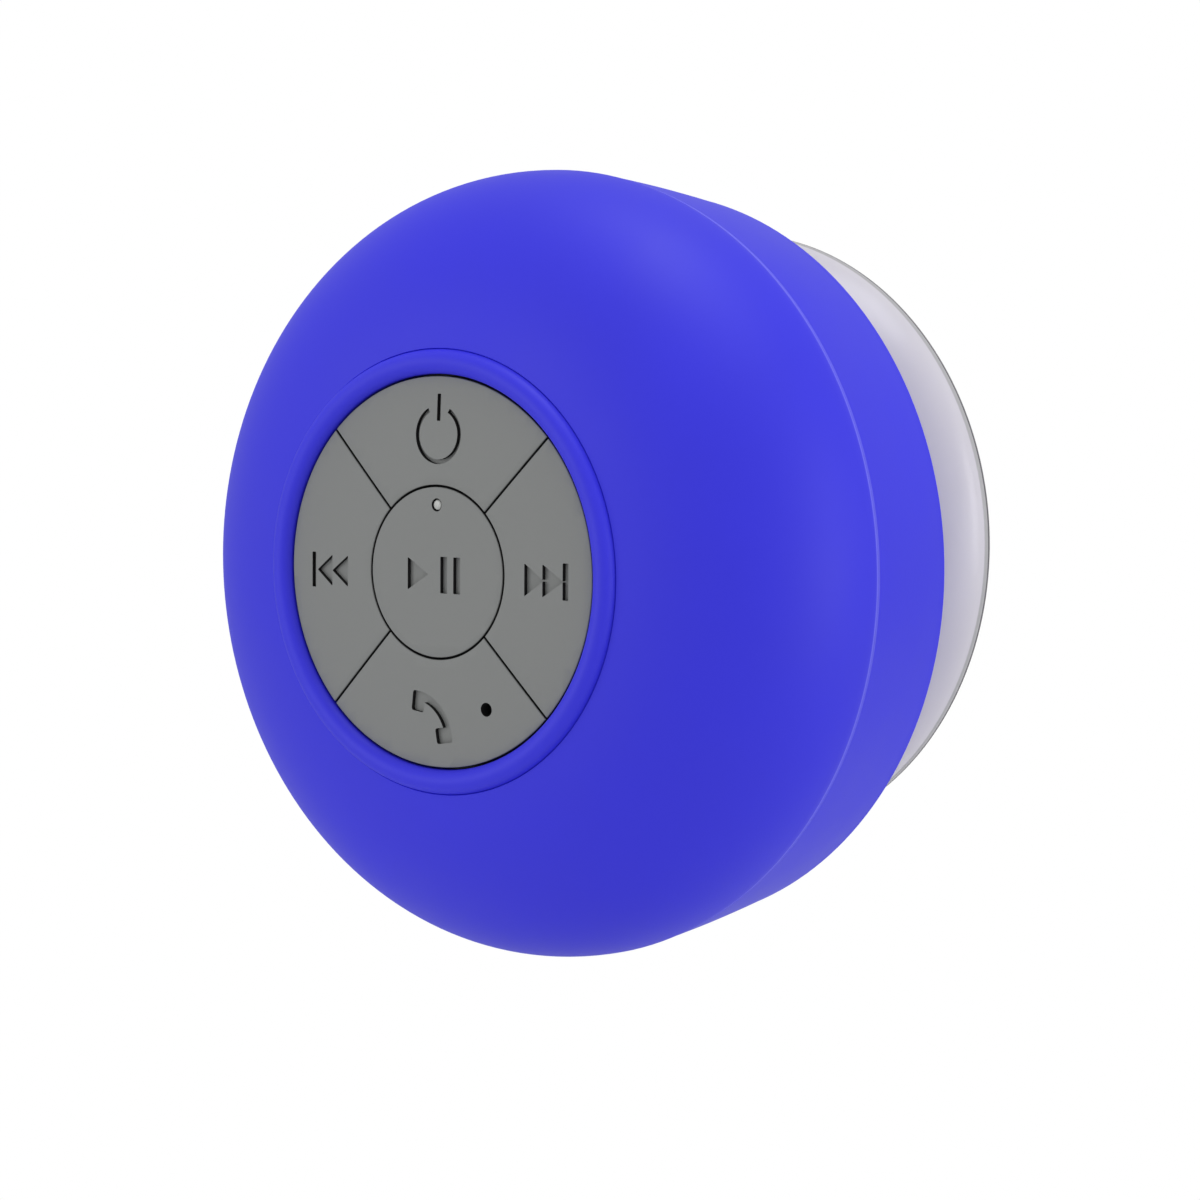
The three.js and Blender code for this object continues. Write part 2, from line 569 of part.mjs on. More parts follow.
// Sets the front of a key back towards the keypad's edge, so that the five keys form a shallow crown. The
// floors of its symbols go back as far as its face does.
function crowned(geometry) {
  const position = geometry.getAttribute("position");
  const movingHeight = KEY.t - KEY.symbolDepth;
  for (let i = 0; i < position.count; i++) {
    const share = Math.min(1, Math.max(0, (position.getZ(i) - KEY_BACK_Z) / movingHeight));
    const r = Math.hypot(position.getX(i), position.getY(i));
    position.setZ(i, position.getZ(i) - KEY.crown * share * (r / KEYPAD_R) ** 2);
  }
  return geometry;
}

// A key with its symbol, any hole through it, and the pin that presses its switch.
function key({ at, facing, symbol, hole }) {
  const cap = plate(facing === undefined ? roundKey() : quarterKey(facing), KEY_BACK_Z, KEY_FACE_Z);
  const pin = rod(at, KEY_PIN.r, PLUNGER.frontZ + TOUCH_GAP, KEY_BACK_Z + KEY_PIN.root);
  const toolFrontZ = KEY_FACE_Z + THROUGH;
  const tools = symbol.map((shape) => plate(shape, KEY_FACE_Z - KEY.symbolDepth, toolFrontZ));
  if (hole) tools.push(rod(...hole, KEY_BACK_Z - THROUGH, toolFrontZ));
  return joined(crowned(cut(cap, tools)), [pin]);
}

function keypadMembrane() {
  const [toolBackZ, toolFrontZ] = [MEMBRANE.backZ - THROUGH, MEMBRANE.frontZ + THROUGH];
  return cut(disc(KEYPAD_R, MEMBRANE.backZ, MEMBRANE.frontZ, MEMBRANE_SIDES), [
    ...KEYS.map(({ at }) => rod(at, MEMBRANE.holeR, toolBackZ, toolFrontZ)),
    rod(LED.at, LENS.holeR, toolBackZ, toolFrontZ, HOLE_SIDES),
    rod(MICROPHONE_AT, MICROPHONE.holeR + TOUCH_GAP, toolBackZ, toolFrontZ, HOLE_SIDES),
  ]);
}

// ---- Electronics ----

function circuitBoard() {
  const { angles, atR, shankR } = BOARD_SCREW;
  const [toolBackZ, toolFrontZ] = [BOARD.backZ - THROUGH, BOARD.frontZ + THROUGH];
  const holes = angles.map((a) => rod(polar(atR, a), shankR + HOLE_GAP, toolBackZ, toolFrontZ));
  return cut(disc(BOARD.r, BOARD.backZ, BOARD.frontZ), holes);
}

// A small flat part that stands on the board.
const onBoard = ({ at, width, height, t }) => block(at, width, height, ON_BOARD_Z, ON_BOARD_Z + t);

function switchBody(at) {
  const body = block(at, SWITCH.side, SWITCH.side, ON_BOARD_Z, SWITCH.frontZ);
  return cut(body, [rod(at, SWITCH.boreR, SWITCH.boreZ, SWITCH.frontZ + THROUGH)]);
}

const switchPlunger = (at) => rod(at, PLUNGER.r, PLUNGER.backZ, PLUNGER.frontZ);

function microphoneBoot() {
  const [x, y] = MICROPHONE_AT;
  const { r, bootR, bootZ } = MICROPHONE;
  return ring(r + RUN_GAP, bootR, ON_BOARD_Z + TOUCH_GAP, bootZ, SMALL_SIDES).translate(x, y, 0);
}

// A clear light guide, from the LED to the face of the centre key.
function indicatorLens() {
  const [x, y] = LED.at;
  const { r, baseR, backZ, baseTopZ, frontZ } = LENS;
  const outline = [[0, backZ], [baseR, backZ], [baseR, baseTopZ], [r, baseTopZ], [r, frontZ], [0, frontZ]];
  return turned(outline, SMALL_SIDES).translate(x, y, 0);
}

const batteryCell = () =>
  plate(roundedRectangle(CELL.width, CELL.height, CELL.rounding), CELL.backZ, CELL.frontZ);

const batteryPad = () =>
  block([0, 0], CELL_PAD.width, CELL_PAD.height, CELL.frontZ + TOUCH_GAP, BOARD.backZ - TOUCH_GAP);

// A lead through the points given, each [x, share of spread, z], with its first end at the height startY.
function lead(startY, points) {
  const section = new THREE.Shape().absarc(0, 0, LEAD.r, 0, 2 * Math.PI);
  return swept(section, points.map(([x, spread, z]) => [x, startY * spread, z]), LEAD.steps);
}

// From the cell's right edge round to the back of the board.
const batteryLead = (y) => lead(y, [[15.5, 1, 43], [20, 1, 42], [22.5, 1.6, 43.5], [21.5, 2, LEAD.endZ]]);

// From the basket's left edge past the magnet to the back of the board.
const speakerLead = (y) => lead(y, [[-19.6, 1, 27.6], [-24, 1.5, 31], [-24.5, 2, 40], [-22, 2.4, LEAD.endZ]]);

// A flat cable from the charging board to the back of the circuit board.
function chargeRibbon() {
  const { width, t, endZ } = RIBBON;
  const section = bar(-width / 2, 0, width, t);
  return swept(section, [[0, -33, 28.2], [0, -29.6, 31], [0, -28.6, 38], [0, -25.2, endZ]], LEAD.steps);
}

function usbSocket() {
  const { width, height, backR, mouthR, wallT, bottomR } = SOCKET;
  const halfInner = width / 2 - wallT;
  const inner = portBox(-halfInner, halfInner, height - 2 * wallT, bottomR, mouthR + THROUGH);
  return cut(portBox(-width / 2, width / 2, height, backR, mouthR), [inner]);
}

// The board lies along the socket, towards the front.
function chargeBoard() {
  const { width, t, innerR, outerR } = CHARGE_BOARD;
  const board = portBox(-width / 2, width / 2, t, innerR, outerR);
  return board.translate(0, 0, (SOCKET.height + t) / 2 + RUN_GAP);
}

// ---- Loudspeaker ----

// A piece turned from an outline of [radius, height above the driver's rim].
const fromRim = (outline) => turned(outline.map(([r, up]) => [r, RIM_Z + up]), DRIVER_SIDES);

// A thin sheet of even height t, along a line of such points.
const sheet = (line, t) => fromRim([...line, ...line.map(([r, up]) => [r, up + t]).toReversed()]);

// A flange, a flared wall and a floor with a hole for the coil.
function driverBasket() {
  const { mouthR, rimR, shoulderR, floorR, floorUp, holeR, t } = BASKET;
  return fromRim([
    [mouthR, 0],
    [rimR, 0],
    [rimR, t],
    [mouthR + 2 * t, t],
    [shoulderR, floorUp - t],
    [floorR, floorUp],
    [holeR, floorUp],
    [holeR, floorUp - t],
    [floorR, floorUp - t],
    [shoulderR - t, floorUp - 2 * t],
    [mouthR, t],
  ]);
}

// A rubber half-roll between the basket and the cone.
function driverSurround() {
  const { outerR, footR, rollR, coneR, innerR, t } = SURROUND;
  const [footUp, rollUp, innerUp] = [-0.5, -1.5, -0.3];
  return sheet([[outerR, footUp], [footR, footUp], [rollR, rollUp], [coneR, footUp], [innerR, innerUp]], t);
}

function driverCone() {
  const { rimR, seatR, rimUp, neckR, neckUp, t } = CONE;
  return sheet([[rimR, rimUp], [seatR, rimUp], [neckR, neckUp]], t);
}

function dustCap() {
  const { r, edgeUp, middleR, middleUp, topUp, t } = DUST_CAP;
  return sheet([[0, topUp], [middleR, middleUp], [r, edgeUp]], t);
}

// A corrugated disc that centres the coil.
function driverSpider() {
  const { innerR, outerR, up, folds, halfWave, t } = SPIDER;
  const pitch = (outerR - innerR) / folds;
  const line = Array.from({ length: folds + 1 }, (_, i) => [
    innerR + i * pitch,
    i % 2 ? up + halfWave : up - halfWave,
  ]);
  return sheet(line, t);
}

const tube = ({ innerR, outerR, backZ, frontZ }) => ring(innerR, outerR, backZ, frontZ, DRIVER_SIDES);

function driverYoke() {
  const { plateR, poleR, poleZ, plateZ, frontZ } = YOKE;
  const pole = [[0, poleZ], [poleR, poleZ], [poleR, plateZ]];
  const back = [[plateR, plateZ], [plateR, frontZ], [0, frontZ]];
  return turned([...pole, ...back], DRIVER_SIDES);
}

// ---- Fasteners ----

// A cross-head screw, driven from the wall side.
function screw({ atR, headR, headZ, headT, shankR, length }, degrees) {
  const neckZ = headZ + headT;
  const endZ = neckZ + length;
  const outline = [[0, headZ], [headR, headZ], [headR, neckZ], [shankR, neckZ], [shankR, endZ], [0, endZ]];
  const slot = block([0, 0], headR * RECESS.lengthShare, RECESS.width, headZ - headT / 2, headZ + headT / 2);
  const recess = [slot, slot.clone().rotateZ(Math.PI / 2)];
  const [x, y] = polar(atR, degrees);
  return cut(turned(outline, SMALL_SIDES), recess).translate(x, y, 0);
}

const screws = (name, kind) => kind.angles.map((a, i) => node(`${name}_${i + 1}`, screw(kind, a), steel));

// ---- Assembly ----

const wallCup = [
  node("suction_cup", suctionCup(), cupRubber),
  node("cup_stud", cupStud(), ivory),
  node("cup_clip", cupClip(), steel),
];

const casing = [
  node("front_cover", frontCover(), blueSilicone),
  node("front_housing", frontHousing(), innerPlastic),
  node("housing_seal", ring(SEAL.innerR, SEAL.outerR, SEAL.backZ, SEAL.frontZ), darkRubber),
  node("rear_housing", rearHousing(), bluePlastic),
  node("grille_cloth", tube(CLOTH), darkRubber),
  node("port_flap", portFlap(), blueSilicone),
  node("flap_anchor", flapAnchor(), blueSilicone),
  ...screws("housing_screw", HOUSING_SCREW),
];

const keypad = [
  ...KEYS.map((k) => node(`key_${k.name}`, key(k), greyRubber)),
  node("keypad_membrane", keypadMembrane(), darkRubber),
];

const electronics = [
  node("circuit_board", circuitBoard(), boardGreen),
  ...screws("board_screw", BOARD_SCREW),
  ...KEYS.map((k) => node(`switch_${k.name}`, switchBody(k.at), chipBlack)),
  ...KEYS.map((k) => node(`plunger_${k.name}`, switchPlunger(k.at), ivory)),
  ...CHIPS.map((chip) => node(chip.name, onBoard(chip), chipBlack)),
  node("chip_antenna", onBoard(ANTENNA), ivory),
  node("microphone", rod(MICROPHONE_AT, MICROPHONE.r, ON_BOARD_Z, MICROPHONE.frontZ), foil),
  node("microphone_boot", microphoneBoot(), darkRubber),
  node("indicator_led", onBoard(LED), ivory),
  node("indicator_lens", indicatorLens(), clearPlastic),
  node("battery_cell", batteryCell(), foil),
  node("battery_pad", batteryPad(), foam),
  node("battery_lead_red", batteryLead(2.5), redWire),
  node("battery_lead_black", batteryLead(-2.5), blackWire),
  node("speaker_lead_red", speakerLead(2), redWire),
  node("speaker_lead_black", speakerLead(-2), blackWire),
  node("charge_board", chargeBoard(), boardGreen),
  node("usb_socket", usbSocket(), steel),
  node("charge_ribbon", chargeRibbon(), blackWire),
];

const driver = [
  node("driver_gasket", tube(GASKET), foam),
  node("driver_basket", driverBasket(), steel),
  node("driver_surround", driverSurround(), darkRubber),
  node("driver_cone", driverCone(), paper),
  node("dust_cap", dustCap(), paper),
  node("voice_coil", tube(COIL), copper),
  node("driver_spider", driverSpider(), ivory),
  node("front_plate", tube(TOP_PLATE), steel),
  node("driver_magnet", tube(MAGNET), ferrite),
  node("driver_yoke", driverYoke(), steel),
];

const speaker = new THREE.Group();
speaker.add(...wallCup, ...casing, ...keypad, ...electronics, ...driver);
speaker.rotation.x = Math.PI / 2;
speaker.position.y = DEPTH / 2;

const part = new THREE.Group();
part.add(speaker);
export default part;
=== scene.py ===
"""The looks of the shower speaker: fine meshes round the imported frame, materials, light and camera.

Pieces are drawn in a working frame, in millimetres, as the speaker is seen from the front: x right, y up and
z out of the wall, with z = 0 on the wall. to_frame() turns a finished piece into the CAD frame, in metres.
Outlines of turned pieces are lists of (radius, z) or (radius, z, rounding).
"""

import json
import math

import bmesh
import bpy
from mathutils import Matrix, Vector


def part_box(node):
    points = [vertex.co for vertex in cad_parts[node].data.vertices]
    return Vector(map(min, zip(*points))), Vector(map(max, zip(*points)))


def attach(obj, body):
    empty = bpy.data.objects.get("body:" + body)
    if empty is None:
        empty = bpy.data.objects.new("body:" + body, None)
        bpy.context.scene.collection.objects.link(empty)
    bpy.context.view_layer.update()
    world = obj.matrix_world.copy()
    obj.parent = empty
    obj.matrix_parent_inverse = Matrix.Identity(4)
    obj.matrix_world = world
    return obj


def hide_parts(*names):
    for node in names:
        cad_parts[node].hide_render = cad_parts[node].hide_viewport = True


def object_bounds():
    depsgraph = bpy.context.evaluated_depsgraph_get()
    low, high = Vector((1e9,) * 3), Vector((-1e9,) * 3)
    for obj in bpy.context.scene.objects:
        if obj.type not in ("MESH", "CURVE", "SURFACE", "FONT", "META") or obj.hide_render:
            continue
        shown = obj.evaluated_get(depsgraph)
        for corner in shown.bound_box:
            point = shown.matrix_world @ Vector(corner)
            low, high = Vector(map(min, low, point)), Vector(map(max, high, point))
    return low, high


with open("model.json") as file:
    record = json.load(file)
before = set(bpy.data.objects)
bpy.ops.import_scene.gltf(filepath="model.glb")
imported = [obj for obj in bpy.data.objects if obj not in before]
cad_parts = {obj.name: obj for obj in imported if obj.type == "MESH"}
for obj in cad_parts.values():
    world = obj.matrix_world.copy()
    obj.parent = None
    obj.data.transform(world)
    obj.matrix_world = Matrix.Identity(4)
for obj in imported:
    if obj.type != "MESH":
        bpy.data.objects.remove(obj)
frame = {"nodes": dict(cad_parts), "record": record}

MM = 0.001
NEAR = 1e-6
CAD_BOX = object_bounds()
WALL_Y = CAD_BOX[1].y


# ---- Places read from the frame, in mm ----

def front_of(node):
    return (WALL_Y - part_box(node)[0].y) / MM


def back_of(node):
    return (WALL_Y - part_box(node)[1].y) / MM


def radius_of(node):
    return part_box(node)[1].z / MM


def centre_of(node):
    low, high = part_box(node)
    return (low.x + high.x) / 2 / MM, (low.z + high.z) / 2 / MM


def half_width_of(node):
    low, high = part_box(node)
    return (high.x - low.x) / 2 / MM


BODY_R = radius_of("front_cover")
CREST_Z = front_of("front_cover")
SEAM_Z = front_of("rear_housing")
KEY_FACE_Z = front_of("key_play")
KEYPAD_R = radius_of("key_power")
PLAY_R = radius_of("key_play")
KEY_PIN_Z = back_of("key_play")
CUP_TOP_Z = front_of("suction_cup")
SCREW_AT_R = math.hypot(*centre_of("housing_screw_1"))
SCREW_ANGLES = (45, 135, 225, 315)

# ---- Sizes of what the frame leaves coarse, in mm ----
ROUND_STEPS = 192
WIDEST_Z = 34.4
DOME_FLAT_R = 15.3
DOME_RISE = 20.1
DOME_POWER = 2.18
COVER_T = 1.5
COVER_UNDERSIDE_Z = 52.4
SEAM_GAP = 0.07
BAND_FRONT_R = 42.85
BAND_BACK_R = 40.6
BAND_BACK_Z = 18.6
BAND_BULGE = 0.12
BAND_CHAMFER = 0.28
BACK_WALL_Z = 19.0
INNER_WALL_Z = 21.0
BEAD_OUTER_R = 23.75
BEAD_INNER_R = 21.15
BEAD_FOOT_Z = 53.8
CREASE_WIDTH = 0.16
CREASE_DEPTH = 0.22
KEY_T = 1.9
KEY_GAP = 0.25
KEY_EDGE = 0.12
KEYPAD_CROWN = 0.55
SYMBOL_DEPTH = 0.5
SLOT_COUNT = 12
SLOT_AT_R = 12.7
SLOT_SIZE = (8, 2)
PORT_Z = 25.5
PORT_GAP = 0.3
PORT_FLOOR_R = 38
FLAP_SIZE = (13, 8)
FLAP_T = 1.2
ANCHOR_W = 3
PLUG_SIZE = (9, 3.6)
PLUG_R = (39.4, 41)
FLAP_ROUNDING = 0.8
PLUG_ROUNDING = 0.9
HINGE_SLIT = 0.1
CUP_LIP_R = 34.3
CUP_OFF_AXIS = Vector((-0.5, 1.7))
CUP_BENT_R = (12, 28)
CUP_DISC_R = 8
CUP_DISC_T = 0.3
CUP_RING_W = 2
CUP_LIP_T = 0.9
CUP_HUB_R = 11.5
CUP_SHOULDER_Z = 13.4
CUP_HOLLOW_Z = 8
CUP_POWER = 1.7
CUP_LIP_STEP = 0.12  # how far the bowl ends inside the lip
CUP_BORE_R = 3.35
SPIDER_DISH = 1.4  # keeps its inner edge clear of the cone's travel
SPIDER_DISH_R = (6.5, 8.5)
LENS_R = 0.56
LENS_FOOT_R = 1.4
LENS_FOOT_T = 1.45
KEY_BACK_Z = KEY_FACE_Z - KEY_T
# Lighter blue painted along the seam as a highlight on the cover and the band.
BLUE_SEAM_HIGHLIGHT = (104, 103, 238)
WAVE_SCALE = 0.31  # the wave texture's waves per unit, at a scale of 1
SURROUND_LIGHT = 0.65


# ---- Outlines ----

def filleted(corners, steps=6):
    """An outline of (a, b) or (a, b, rounding) corners as points, with the rounded corners as curves."""
    points = []
    count = len(corners)
    for i, corner in enumerate(corners):
        here = Vector(corner[:2])
        rounding = corner[2] if len(corner) > 2 else 0
        if not rounding:
            points.append(here)
            continue
        before = Vector(corners[i - 1][:2]) - here
        after = Vector(corners[(i + 1) % count][:2]) - here
        start = here + before.normalized() * min(rounding, before.length * 0.49)
        end = here + after.normalized() * min(rounding, after.length * 0.49)
        for step in range(steps + 1):
            t = step / steps
            points.append(start * (1 - t) ** 2 + here * 2 * t * (1 - t) + end * t ** 2)
    return [tuple(p) for p in points]


def arc(cx, cy, r, start, end, steps):
    """Points on a circle, with the angles in degrees."""
    angles = [math.radians(start + (end - start) * i / steps) for i in range(steps + 1)]
    return [(cx + r * math.cos(a), cy + r * math.sin(a)) for a in angles]


def quarter(r, z, width, rise, power, steps, last=math.pi / 2):
    """A quarter of a superellipse about (r, z), from its widest point towards its top."""
    angles = [last * i / steps for i in range(steps + 1)]
    return [(r + width * math.cos(a) ** (2 / power), z + rise * math.sin(a) ** (2 / power)) for a in angles]


def dome_curve(inset, top_z, steps):
    """The dome's outline from its widest circle up to top_z, moved inwards by inset."""
    rise = DOME_RISE - inset
    last = math.asin(((top_z - WIDEST_Z) / rise) ** (DOME_POWER / 2))
    return quarter(DOME_FLAT_R, WIDEST_Z, BODY_R - DOME_FLAT_R - inset, rise, DOME_POWER, steps, last)


def dome_z(r):
    share = (r - DOME_FLAT_R) / (BODY_R - DOME_FLAT_R)
    return WIDEST_Z + DOME_RISE * (1 - share ** DOME_POWER) ** (1 / DOME_POWER)


def band_r(z):
    """Radius of the band's outside: a taper with a slight bulge."""
    t = (z - BAND_BACK_Z) / (SEAM_Z - BAND_BACK_Z)
    return BAND_BACK_R + (BAND_FRONT_R - BAND_BACK_R) * t + 4 * BAND_BULGE * t * (1 - t)


def profile_of(node):
    """The outline of a turned CAD piece: the edges that lie in the half plane x > 0, z = 0, in order."""
    bm = bmesh.new()
    bm.from_mesh(frame["nodes"][node].data)
    bmesh.ops.remove_doubles(bm, verts=bm.verts, dist=NEAR)
    left = {v for v in bm.verts if abs(v.co.z) < NEAR and v.co.x > -NEAR}
    here = min(left, key=lambda v: (v.co.x, v.co.y))
    line = []
    while here:
        line.append((max(here.co.x / MM, 0), (WALL_Y - here.co.y) / MM))
        left.discard(here)
        others = [edge.other_vert(here) for edge in here.link_edges]
        here = next((v for v in others if v in left), None)
    bm.free()
    return line


# ---- Mesh helpers ----

def smooth_share(value, low, high):
    """0 up to low, 1 from high on, and smooth between."""
    t = min(1, max(0, (value - low) / (high - low)))
    return t * t * (3 - 2 * t)


def turned(outline, steps=ROUND_STEPS):
    """A closed solid turned about the speaker's axis. A point on the axis becomes one vertex."""
    bm = bmesh.new()
    angles = [2 * math.pi * i / steps for i in range(steps)]
    rings = []
    for r, z in outline:
        if r < NEAR:
            rings.append([bm.verts.new((0, 0, z))] * steps)
        else:
            rings.append([bm.verts.new((r * math.cos(a), r * math.sin(a), z)) for a in angles])
    on_axis = outline[0][0] < NEAR and outline[-1][0] < NEAR
    pairs = list(zip(rings, rings[1:])) + ([] if on_axis else [(rings[-1], rings[0])])
    for low, high in pairs:
        for i in range(steps):
            j = (i + 1) % steps
            corners = list(dict.fromkeys([low[i], low[j], high[j], high[i]]))
            if len(corners) > 2:
                bm.faces.new(corners)
    bmesh.ops.recalc_face_normals(bm, faces=bm.faces)
    return bm


def lofted(layers):
    """A solid through closed outlines of the same point count, each a (points, z) pair."""
    bm = bmesh.new()
    rings = [[bm.verts.new((x, y, z)) for x, y in points] for points, z in layers]
    for low, high in zip(rings, rings[1:]):
        for i in range(len(low)):
            j = (i + 1) % len(low)
            bm.faces.new([low[i], low[j], high[j], high[i]])
    bm.faces.new(list(reversed(rings[0])))
    bm.faces.new(rings[-1])
    bmesh.ops.recalc_face_normals(bm, faces=bm.faces)
    return bm


def prism(points, back_z, front_z):
    return lofted([(points, back_z), (points, front_z)])


def rectangle(cx, cy, width, height, rounding=0):
    x, y = width / 2, height / 2
    corners = [(cx - x, cy - y), (cx + x, cy - y), (cx + x, cy + y), (cx - x, cy + y)]
    return filleted([(a, b, rounding) for a, b in corners])


def moved(bm, x, y):
    bmesh.ops.translate(bm, verts=bm.verts, vec=(x, y, 0))
    return bm


def merged(*meshes):
    """All the given meshes in one, with nothing cut or joined."""
    result = bmesh.new()
    for bm in meshes:
        data = bpy.data.meshes.new("part")
        bm.to_mesh(data)
        result.from_mesh(data)
        bpy.data.meshes.remove(data)
        bm.free()
    return result


def combined(bm, tool, operation):
    """The boolean of two meshes. Faces made by the tool get material index 1."""
    for face in tool.faces:
        face.material_index = 1
    objects = []
    for mesh in (bm, tool):
        data = bpy.data.meshes.new("boolean")
        mesh.to_mesh(data)
        mesh.free()
        data.materials.append(None)
        data.materials.append(None)
        made = bpy.data.objects.new("boolean", data)
        bpy.context.scene.collection.objects.link(made)
        objects.append(made)
    modifier = objects[0].modifiers.new("boolean", "BOOLEAN")
    modifier.operation = operation
    modifier.solver = "MANIFOLD"
    modifier.object = objects[1]
    bpy.context.view_layer.update()
    evaluated = objects[0].evaluated_get(bpy.context.evaluated_depsgraph_get())
    result = bmesh.new()
    result.from_mesh(evaluated.data)
    for made in objects:
        data = made.data
        bpy.data.objects.remove(made)
        bpy.data.meshes.remove(data)
    return result


def rounded_edges(bm, width, segments=2, limit=35):
    """Every edge sharper than limit degrees gets a small round."""
    sharp = [e for e in bm.edges if e.is_manifold and e.calc_face_angle(0) > math.radians(limit)]
    shape = {"offset": width, "segments": segments, "profile": 0.5, "clamp_overlap": True}
    bmesh.ops.bevel(bm, geom=sharp, affect="EDGES", **shape)
    return bm


def to_frame():
    turn = Matrix.Rotation(math.pi / 2, 4, "X")
    return Matrix.Translation((0, WALL_Y, 0)) @ turn @ Matrix.Scale(MM, 4)


def piece(name, bm, body, slot, nodes=(), sharp=35, groove=None):
    """Puts a finished mesh into the scene on its body, in place of its CAD nodes.

    A groove names the look of the faces that a boolean tool made.
    """
    bmesh.ops.remove_doubles(bm, verts=bm.verts, dist=1e-4)
    bmesh.ops.transform(bm, matrix=to_frame(), verts=bm.verts)
    data = bpy.data.meshes.new(name)
    bm.to_mesh(data)
    bm.free()
    for polygon in data.polygons:
        polygon.use_smooth = True
        if groove is None:
            polygon.material_index = 0
    data.set_sharp_from_angle(angle=math.radians(sharp))
    data.materials.append(looks[slot])
    if groove is not None:
        data.materials.append(looks[groove])
    made = bpy.data.objects.new(name, data)
    bpy.context.scene.collection.objects.link(made)
    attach(made, body)
    if nodes:
        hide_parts(*nodes)
    return made


# ---- Materials ----

def linear(red, green, blue):
    """A colour given as 0 to 255 sRGB, as Blender's linear values."""
    def channel(value):
        share = value / 255
        return share / 12.92 if share <= 0.04045 else ((share + 0.055) / 1.055) ** 2.4
    return channel(red), channel(green), channel(blue), 1


class Surface:
    """A moulded material: a tone and a gloss that change slowly, and a fine grain in the surface."""

    def __init__(self, name, colour, roughness, grain=0.3, bump=0.02, variation=0.04, **settings):
        """grain is the size of the grain and bump its height, both in mm."""
        self.material = bpy.data.materials.new(name)
        self.material.use_nodes = True
        self.nodes = self.material.node_tree.nodes
        self.shader = self.nodes["Principled BSDF"]
        for key, value in settings.items():
            self.shader.inputs[key.replace("_", " ")].default_value = value
        self.place = self.add("TexCoord").outputs["Object"]
        slow = self.noise(16, 3)
        shade = self.ranged(slow, 0, 1, 1 - variation, 1 + variation)
        self.tone = self.mixed(linear(*colour), shade, 1, "MULTIPLY")
        gloss = self.ranged(slow, 0, 1, roughness - 0.05, roughness + 0.05)
        self.link(gloss, self.shader.inputs["Roughness"])
        self.relief = self.add("Bump", Distance=bump * MM, Strength=0.6)
        self.link(self.noise(grain, 2), self.relief.inputs["Height"])
        self.link(self.relief.outputs["Normal"], self.shader.inputs["Normal"])
        self.link(self.tone, self.shader.inputs["Base Color"])

    def add(self, kind, **values):
        node = self.nodes.new("ShaderNode" + kind)
        for key, value in values.items():
            node.inputs[key].default_value = value
        return node

    def link(self, source, target):
        self.material.node_tree.links.new(source, target)

    def give(self, socket, given):
        """Sets a socket to a value, or links another node's output to it."""
        if isinstance(given, bpy.types.NodeSocket):
            self.link(given, socket)
        else:
            socket.default_value = given

    def noise(self, size, detail):
        """Cloudy values from 0 to 1, with features of about the given size in mm."""
        clouds = self.add("TexNoise", Scale=1 / (size * MM), Detail=detail)
        self.link(self.place, clouds.inputs["Vector"])
        return clouds.outputs["Fac"]

    def ranged(self, value, low, high, to_low=0, to_high=1):
        """The value as it goes from low to high, mapped smoothly on to_low to to_high."""
        node = self.nodes.new("ShaderNodeMapRange")
        node.interpolation_type = "SMOOTHSTEP"
        for key, number in zip(("From Min", "From Max", "To Min", "To Max"), (low, high, to_low, to_high)):
            node.inputs[key].default_value = number
        self.link(value, node.inputs["Value"])
        return node.outputs["Result"]

    def mixed(self, first, second, share, blend="MIX"):
        """Two colours mixed. Each of the three may be a value or another node's output."""
        node = self.nodes.new("ShaderNodeMix")
        node.data_type = "RGBA"
        node.blend_type = blend
        self.give(node.inputs["Factor"], share)
        for socket, given in zip([i for i in node.inputs if i.type == "RGBA"], (first, second)):
            self.give(socket, given)
        return next(output for output in node.outputs if output.type == "RGBA")

    def tinted(self, colour, share):
        """Another colour where the share is high."""
        self.tone = self.mixed(self.tone, linear(*colour), share)
        self.link(self.tone, self.shader.inputs["Base Color"])
        return self

    def worked(self, operation, *values):
        """A calculation on values, each a number or another node's output."""
        node = self.nodes.new("ShaderNodeMath")
        node.operation = operation
        for socket, given in zip(node.inputs, values):
            self.give(socket, given)
        return node.outputs[0]

    def between(self, low, high, blend):
        """1 where the distance from the wall is from low to high, and 0 from blend beyond that, all in mm."""
        split = self.add("SeparateXYZ")
        self.link(self.place, split.inputs["Vector"])
        middle_y = WALL_Y - (low + high) / 2 * MM
        away = self.worked("ABSOLUTE", self.worked("SUBTRACT", split.outputs["Y"], middle_y))
        half = (high - low) / 2 * MM
        return self.ranged(away, half, half + blend * MM, 1, 0)

    def beyond(self, centre, r, blend):
        """0 nearer than r to a line through the centre and out of the wall, and 1 from blend beyond it."""
        split = self.add("SeparateXYZ")
        self.link(self.place, split.inputs["Vector"])
        across = self.worked("SUBTRACT", split.outputs["X"], centre.x * MM)
        up = self.worked("SUBTRACT", split.outputs["Z"], centre.y * MM)
        squared = self.worked("ADD", self.worked("POWER", across, 2), self.worked("POWER", up, 2))
        return self.ranged(self.worked("SQRT", squared), r * MM, (r + blend) * MM)

    def woven(self, pitch):
        """Threads along x and z, in place of the grain."""
        heights = []
        for axis in ("X", "Z"):
            threads = self.add("TexWave", Scale=WAVE_SCALE / (pitch * MM))
            threads.bands_direction = axis
            self.link(self.place, threads.inputs["Vector"])
            heights.append(threads.outputs["Fac"])
        self.relief.inputs["Distance"].default_value = 0.1 * MM
        self.link(self.worked("MAXIMUM", *heights), self.relief.inputs["Height"])
        return self


def blue_silicone():
    """The cover's soft skin, with a painted highlight along its edge at the seam."""
    skin = Surface("blue_silicone", (44, 41, 221), 0.55, 0.25, 0.012, 0.03, Specular_IOR_Level=0.42)
    return skin.tinted(BLUE_SEAM_HIGHLIGHT, skin.between(SEAM_Z, SEAM_Z + 0.25, 0.2))


